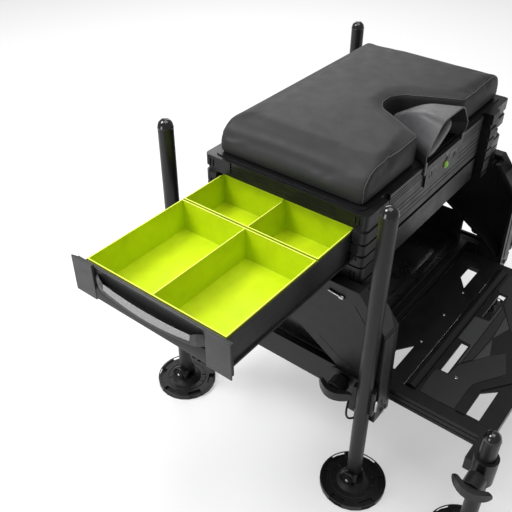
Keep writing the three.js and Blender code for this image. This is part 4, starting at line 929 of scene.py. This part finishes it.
# Middle of each right-hand leg
LEGS = {"front": (333.5, -233.3), "back": (333.5, 233.3), "footplate": (313.0, -466.0)}
# Mud foot: height of its pin, and on the wheel its depths, spokes (reach and half width) and its screw
PIVOT = 34
SPOKES = 5
SPOKE_DEPTHS = (19.0, 24.5)
SPOKE_ENDS = ((3.0, 2.6), (16.2, 1.7))
WHEEL_SCREW_DEPTH = 27.0
# Ribs of the dome: how many, height, inner and outer reach, radius in metres; none stand by the pin
RIBS = 12
RIB_HEIGHT = 9.2
RIB_REACH = (36, 44.5)
RIB_RADIUS = 0.0011
RIB_FREE_COSINE = 0.93


def make_wheel_spoke(word, number, hub, side):
    """One of the flat spokes between a hand wheel's hub and its rim."""
    angle = math.radians(18 + 360 / SPOKES * number)
    way = Vector((0, math.cos(angle), math.sin(angle)))
    across = Vector((0, -math.sin(angle), math.cos(angle)))
    near, far = ([Vector(hub) + way * reach + across * half * sign for sign in (-1, 1)]
                 for reach, half in SPOKE_ENDS)
    order = (near[0], near[1], far[1], far[0])
    loops = [[corner + Vector((side * depth, 0, 0)) for corner in order] for depth in SPOKE_DEPTHS]
    spoke = lofted(f"wheel_spoke_{word}_{number}", loops, "moulded_black", "foot_" + word, smooth=30)
    bevelled(spoke, SLAB_BEVEL)


def dress_foot(word, u, v, side):
    """Hand wheel, rim wire, raised ring and ribbed dome of one mud foot."""
    body = "foot_" + word
    outwards = (side, 0, 0)
    hub = (u, v, PIVOT)
    ring_piece("wheel_rim_" + word, hub, outwards, 15.5, 19.0, 18.0, 25.5, "moulded_black", body)
    for number in range(SPOKES):
        make_wheel_spoke(word, number, hub, side)
    screw = (u + side * WHEEL_SCREW_DEPTH, v, PIVOT)
    socket_screw("wheel_screw_" + word, screw, outwards, 4.0, "steel", body)
    foot = (u, v, 0)
    ring_piece("foot_wire_" + word, foot, UP, 65.9, 68.0, 10.2, 12.2, "moulded_black", body, 60)
    ring_piece("foot_ring_" + word, foot, UP, 44.0, 46.0, 8.6, 10.0, "moulded_black", body, 48)
    for number in range(RIBS):
        angle = math.radians(360 / RIBS * (number + 0.5))
        if abs(math.cos(angle)) > RIB_FREE_COSINE:
            continue
        way = Vector((math.cos(angle), math.sin(angle), 0))
        start, end = (Vector((u, v, RIB_HEIGHT)) + way * reach for reach in RIB_REACH)
        path = [place(*start), place(*start.lerp(end, 0.5)), place(*end)]
        tube(f"foot_rib_{word}_{number}", path, RIB_RADIUS, "moulded_black", body, sides=6)


def make_foot_details():
    for end, (u, v) in LEGS.items():
        for side, word in SIDES:
            dress_foot(f"{end}_{word}", side * u, v, side)


# Raised fields of the footplate's tread on its left half, in box-centred millimetres
TREAD_FIELD = (
    (-225, -296), (-163.7, -293.4), (-151, -297), (-151, -321), (-116, -325), (-51.5, -365),
    (-24.4, -388), (-80.9, -411), (-124.5, -382.4), (-144.9, -371), (-164, -368), (-225, -368),
)
TREAD_NOTCH = ((-1, -348.6), (-50.4, -364.4), (-83.7, -343.1))
TREAD_BRIDGE = ((-104, -327.6), (104, -327.6), (84, -342), (9, -346.4), (-9, -346.4), (-84, -342))
TREAD_MIDDLE = (
    (-42.7, -290.5), (42.7, -290.5), (46, -320.5), (57.8, -321.8), (114, -321.8), (102, -325.8),
    (-102, -325.8), (-114, -321.8), (-57.8, -321.8), (-46, -320.5),
)


def tread_plate(name, outline, rise, material, bevel):
    slab(name, outline, TREAD_TOP - 0.1, TREAD_TOP + rise, "z", material, "footplate", bevel)


def make_tread_fields():
    """Raised fields and the bridge across the middle of the footplate's tread."""
    for side, word in SIDES:
        field, notch = ([(-side * u, v) for u, v in shape] for shape in (TREAD_FIELD, TREAD_NOTCH))
        tread_plate("tread_field_" + word, field, 1.1, "tread_grey", 0.0007)
        tread_plate("tread_notch_" + word, notch, 0.5, "tread_light", FINE_BEVEL)
    tread_plate("tread_middle", TREAD_MIDDLE, 0.5, "tread_light", FINE_BEVEL)
    tread_plate("tread_bridge", TREAD_BRIDGE, 1.8, "tread_grey", 0.0008)


def reflection_on(name, corners, direction, thickness):
    """A thin lighter-grey slab on a slanting face of a casting, a painted reflection of the pale surroundings,
    from its corners on that face in millimetres.
    """
    lift = Vector(direction).normalized()
    loops = [[Vector(p) + lift * level for p in corners] for level in (-0.2, thickness)]
    bevelled(lofted(name, loops, "casting_reflection_grey", "frame", smooth=0, turn=True), 0.0007)


# Ends of the side castings: depth and height of the upright face's foot and of the knee's two ends
UPRIGHT_FOOT = (255, 222)
KNEE_FOOT = (250, 408)
KNEE_HEAD = (191, 480)
UPRIGHT_LEAN = 0.027
# Corners of the painted reflections on them: distance to the side with the height, or with the share of the
# knee
UPRIGHT_REFLECTION = ((284, 226), (300, 226), (300, 244), (316, 252), (316, 403), (284, 403))
KNEE_REFLECTION = ((316, 0.05), (284, 0.05), (270, 0.34), (270, 0.60), (316, 0.60))


def make_casting_reflections():
    """Lighter grey painted reflections on the ends of the side castings: one upright, one on the slanting
    knee.
    """
    (foot_v, foot_z), (knee_v, knee_z), (head_v, head_z) = UPRIGHT_FOOT, KNEE_FOOT, KNEE_HEAD
    back, rise = knee_v - head_v, head_z - knee_z
    slant = (foot_v - knee_v) / (knee_z - foot_z)
    for side, word in SIDES:
        for end, end_word in ((-1, "front"), (1, "back")):
            name = f"{word}_{end_word}"
            upright = [(side * u, end * (foot_v - (z - foot_z) * slant), z) for u, z in UPRIGHT_REFLECTION]
            reflection_on("casting_reflection_" + name, upright, (0, end, UPRIGHT_LEAN), 1.3)
            knee = [
                (side * u, end * (knee_v - back * share), knee_z + rise * share) for u, share in KNEE_REFLECTION
            ]
            reflection_on("casting_knee_reflection_" + name, knee, (0, end * rise, back), 1.0)


# Leg clamps at the front of the frame, on the right-hand side, in box-centred millimetres
CLAMP_FACE = -255.2
CLAMP_PIN_PROFILE = ((0.4, 0.0), (2.6, 1.0), (3.0, 3.0), (3.0, 25.0), (2.6, 27.0), (0.4, 28.0))
CLAMP_WIRE = (
    (322.0, -196.0, 232.0), (332.0, -201.0, 226.0), (343.0, -205.0, 216.0), (347.0, -208.0, 206.0),
    (344.0, -212.0, 197.0), (332.0, -216.0, 190.0), (318.0, -217.0, 189.0), (312.0, -217.0, 196.0),
)
CLAMP_WIRE_RADIUS = 0.0021


def make_clamp_fittings():
    """Bolts, a pin and a bent wire at the front leg clamps."""
    for side, word in SIDES:
        for number, (u, v) in enumerate(((300, -232), (286, -210))):
            hex_bolt(f"clamp_bolt_{word}_{number}", (side * u, v, 195.0), DOWN, 5.0, 4.0)
        name = "clamp_bolt_" + word
        hex_bolt(name + "_front", (side * 296, CLAMP_FACE, 208.0), FRONT, 5.2, 4.5)
        hex_bolt(name + "_low", (side * 280, CLAMP_FACE, 203.0), FRONT, 4.2, 3.6)
        foot = (side * 330.5, -257.6, 236.0)
        lathe("clamp_pin_" + word, foot, UP, CLAMP_PIN_PROFILE, "steel", "frame", sides=14)
        path = smooth_path([(side * u, v, z) for u, v, z in CLAMP_WIRE], 6)
        tube("clamp_wire_" + word, path, CLAMP_WIRE_RADIUS, "moulded_black", "frame", sides=10)


def smooth_path(points, steps):
    """Catmull-Rom line through the points, in the shared frame."""
    spots = [Vector(p) for p in points]
    spots = [spots[0] * 2 - spots[1], *spots, spots[-1] * 2 - spots[-2]]
    path = []
    for a, b, c, d in zip(spots, spots[1:], spots[2:], spots[3:]):
        for k in range(steps):
            t = k / steps
            bend = (a * 2 - b * 5 + c * 4 - d) * t * t
            spot = b * 2 + (c - a) * t + bend + (b * 3 - a - c * 3 + d) * t * t * t
            path.append(place(*(spot / 2)))
    path.append(place(*spots[-2]))
    return path


# Level in the strap's anchor plate
LEVEL = (6.0, -175.9, 581.6)
LEVEL_DOME = ((5.9, -0.4), (5.9, 0.5), (5.5, 1.3), (4.5, 2.1), (3.0, 2.7), (1.4, 3.0), (0.4, 3.05))
# Shapes on the anchor plate: the dark hook and the edge as distances from the strap's middle, then the arrow,
# a recess painted near-black as its shade
HOOK_SHAPE = ((27, 589), (27, 603), (57, 603), (57, 589), (51, 589), (51, 596), (33, 596), (33, 589))
EDGE_SHAPE = ((70.5, 569), (70.5, 594), (69.3, 594), (69.3, 569))
ARROW_SHADE = ((-4, 612), (16, 612), (6, 597))
PLATE_FACE = -173.9
MARK_SINK = 0.3


def make_level():
    """Dome of green fluid in a bright ring."""
    lathe("level_dome", LEVEL, FRONT, LEVEL_DOME, "level_green", "seat", sides=28)
    ring_piece("level_rim", LEVEL, FRONT, 5.8, 6.9, -1.5, 0.8, "level_rim", "seat", 28)


def anchor_mark(name, outline, rise, material, bevel=0):
    slab(name, outline, PLATE_FACE - rise, PLATE_FACE + MARK_SINK, "y", material, "seat", bevel)


def make_anchor_marks():
    for side, word in SIDES:
        hook, edge = ([(STRAP_U + side * u, z) for u, z in shape] for shape in (HOOK_SHAPE, EDGE_SHAPE))
        anchor_mark("anchor_hook_" + word, hook, 0.35, "deck_black")
        anchor_mark("anchor_edge_" + word, edge, 0.6, "handle_grey", 0.0002)
    # The arrow-shaped recess is painted near-black: painted shade
    anchor_mark("anchor_arrow_shade", ARROW_SHADE, 0.35, "deck_black")


# Front of the drawer, in box-centred millimetres
FRONT_BACK = -616.3
FRONT_FACE = -622.2
FRONT_PLATE_FACE = -628.0
FRONT_HALF = 166.0
FRONT_PLATE = 48.0
FRONT_PANEL_HALF = 161.5
FRONT_LOW = 512.2
FRONT_STRIP_TOP = 575.4
FRONT_PLATE_TOP = 581.8
FRONT_LAP = 0.2
FRONT_LINES = (-621.3, -619.3, -617.3)
FRONT_LINE_HALF = 0.5
FRONT_LINE_RISE = 0.7
SHADE_PROUD = 0.3
FRONT_RECESS_SHADE = ((-112, 541), (112, 541), (114, 560), (104, 570), (-104, 570), (-114, 560))
LIP_BEVEL = 0.0009
FRONT_LIP = ((-622.0, 512.4), (-627.2, 515.5), (-627.2, 533.0), (-624.0, 540.5), (-622.0, 541.0))


def make_drawer_front():
    """Two end plates, a lower middle panel with fine lines along its top painted lighter as highlights, a
    near-black sheet painted as the shade of the recess behind the handle, and a lower lip.
    """
    inner = FRONT_HALF - FRONT_PLATE
    edge = FRONT_FACE + FRONT_LAP
    reach = FRONT_PANEL_HALF
    shape = (
        (FRONT_PLATE_FACE, FRONT_HALF), (FRONT_PLATE_FACE + 2.6, FRONT_HALF), (edge, FRONT_HALF - 14),
        (edge, inner), (FRONT_PLATE_FACE, inner),
    )
    pieces = []
    for side, word in SIDES:
        name = "drawer_end_plate_" + word
        outline = [(u, side * v) for u, v in shape][::side]
        pieces.append(slab(name, outline, FRONT_LOW, FRONT_PLATE_TOP, "z", "plate_grey", "drawer", LIP_BEVEL))
    panel = rectangle(-reach, reach, FRONT_LOW, FRONT_STRIP_TOP)
    pieces.append(slab("drawer_front_panel", panel, FRONT_FACE, FRONT_BACK, "x", "satin_black", "drawer"))
    # The fine lines are painted in the lighter rubber as highlights
    for number, u in enumerate(FRONT_LINES):
        line = rectangle(u - FRONT_LINE_HALF, u + FRONT_LINE_HALF, -reach, reach)
        bottom, top = FRONT_STRIP_TOP - FRONT_LAP, FRONT_STRIP_TOP + FRONT_LINE_RISE
        name = f"drawer_front_line_{number}"
        pieces.append(slab(name, line, bottom, top, "z", "strap_roll_lit", "drawer", FINE_BEVEL))
    # Near-black sheet just proud of the face: painted shade of the recess behind the handle
    face = FRONT_FACE - SHADE_PROUD
    pieces.append(slab("drawer_recess_shade", FRONT_RECESS_SHADE, face, edge, "x", "painted_shade_black", "drawer", 0))
    pieces.append(slab("drawer_front_lip", FRONT_LIP, -inner, inner, "y", "drawer_grey", "drawer", LIP_BEVEL))
    for piece in pieces:
        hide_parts("drawer_front")


# Handle: half its bar's length, then depth and height of each edge of the bar in its middle and how much they
# grow towards its ends: upper edge, lower edge, under edge and back edge
HANDLE_HALF = 92
HANDLE_STATIONS = 28
HANDLE_EDGES = (
    (-632.2, 1.6, 556.0, 5.0),
    (-635.0, 2.6, 541.5, 8.5),
    (-634.2, 2.6, 535.5, 5.5),
    (-628.2, 1.6, 535.1, 5.5),
)
# Its ends, from the bar to the drawer's front: depth, distance from the middle and height of each corner
HANDLE_ENDS = (
    ((-630.6, 92, 561.0), (-632.4, 92, 550.0), (-631.6, 92, 541.0), (-626.6, 92, 540.6)),
    ((-628.6, 101, 566.5), (-630.6, 103, 555.5), (-630.0, 103, 543.5), (-625.0, 101, 541.5)),
    ((-622.2, 112, 567.5), (-624.6, 116, 560.0), (-624.6, 116, 548.0), (-622.0, 114, 544.0)),
)


def make_drawer_handle():
    """Bowed bar whose upper facet is a lighter speckled grey as a painted highlight and whose lower facets are
    dark as painted shade, and dark facets that rise at its ends.
    """
    loops = []
    for k in range(HANDLE_STATIONS + 1):
        v = HANDLE_HALF * (2 * k / HANDLE_STATIONS - 1)
        rise = (v / HANDLE_HALF) ** 2
        loops.append([(u + forward * rise, v, z + lift * rise) for u, forward, z, lift in HANDLE_EDGES])
    handle = lofted("drawer_handle_bar", loops, "handle_highlight", "drawer", smooth=30, turn=True)
    # The lower facets take the dark drawer grey as painted shade
    handle.data.materials.append(materials["drawer_grey"])
    corners = len(HANDLE_EDGES)
    for index, face in enumerate(handle.data.polygons):
        if index >= HANDLE_STATIONS * corners or index % corners != 0:
            face.material_index = 1
    pieces = [bevelled(handle, SLAB_BEVEL, degrees=30)]
    for side, word in SIDES:
        rings = [[(u, side * v, z) for u, v, z in ring] for ring in HANDLE_ENDS]
        cap = lofted("drawer_handle_end_" + word, rings, "plate_grey", "drawer", smooth=0, turn=True)
        pieces.append(bevelled(cap, SLAB_BEVEL, degrees=20))
    for piece in pieces:
        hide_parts("drawer_handle")


make_cushion_seams(make_cushion())
make_drawer_front()
make_drawer_handle()
make_hood()
make_foot_details()
make_tread_fields()
make_casting_reflections()
make_clamp_fittings()
make_level()
make_anchor_marks()
make_strap_roll()
make_insert_rims()
make_small_fittings()
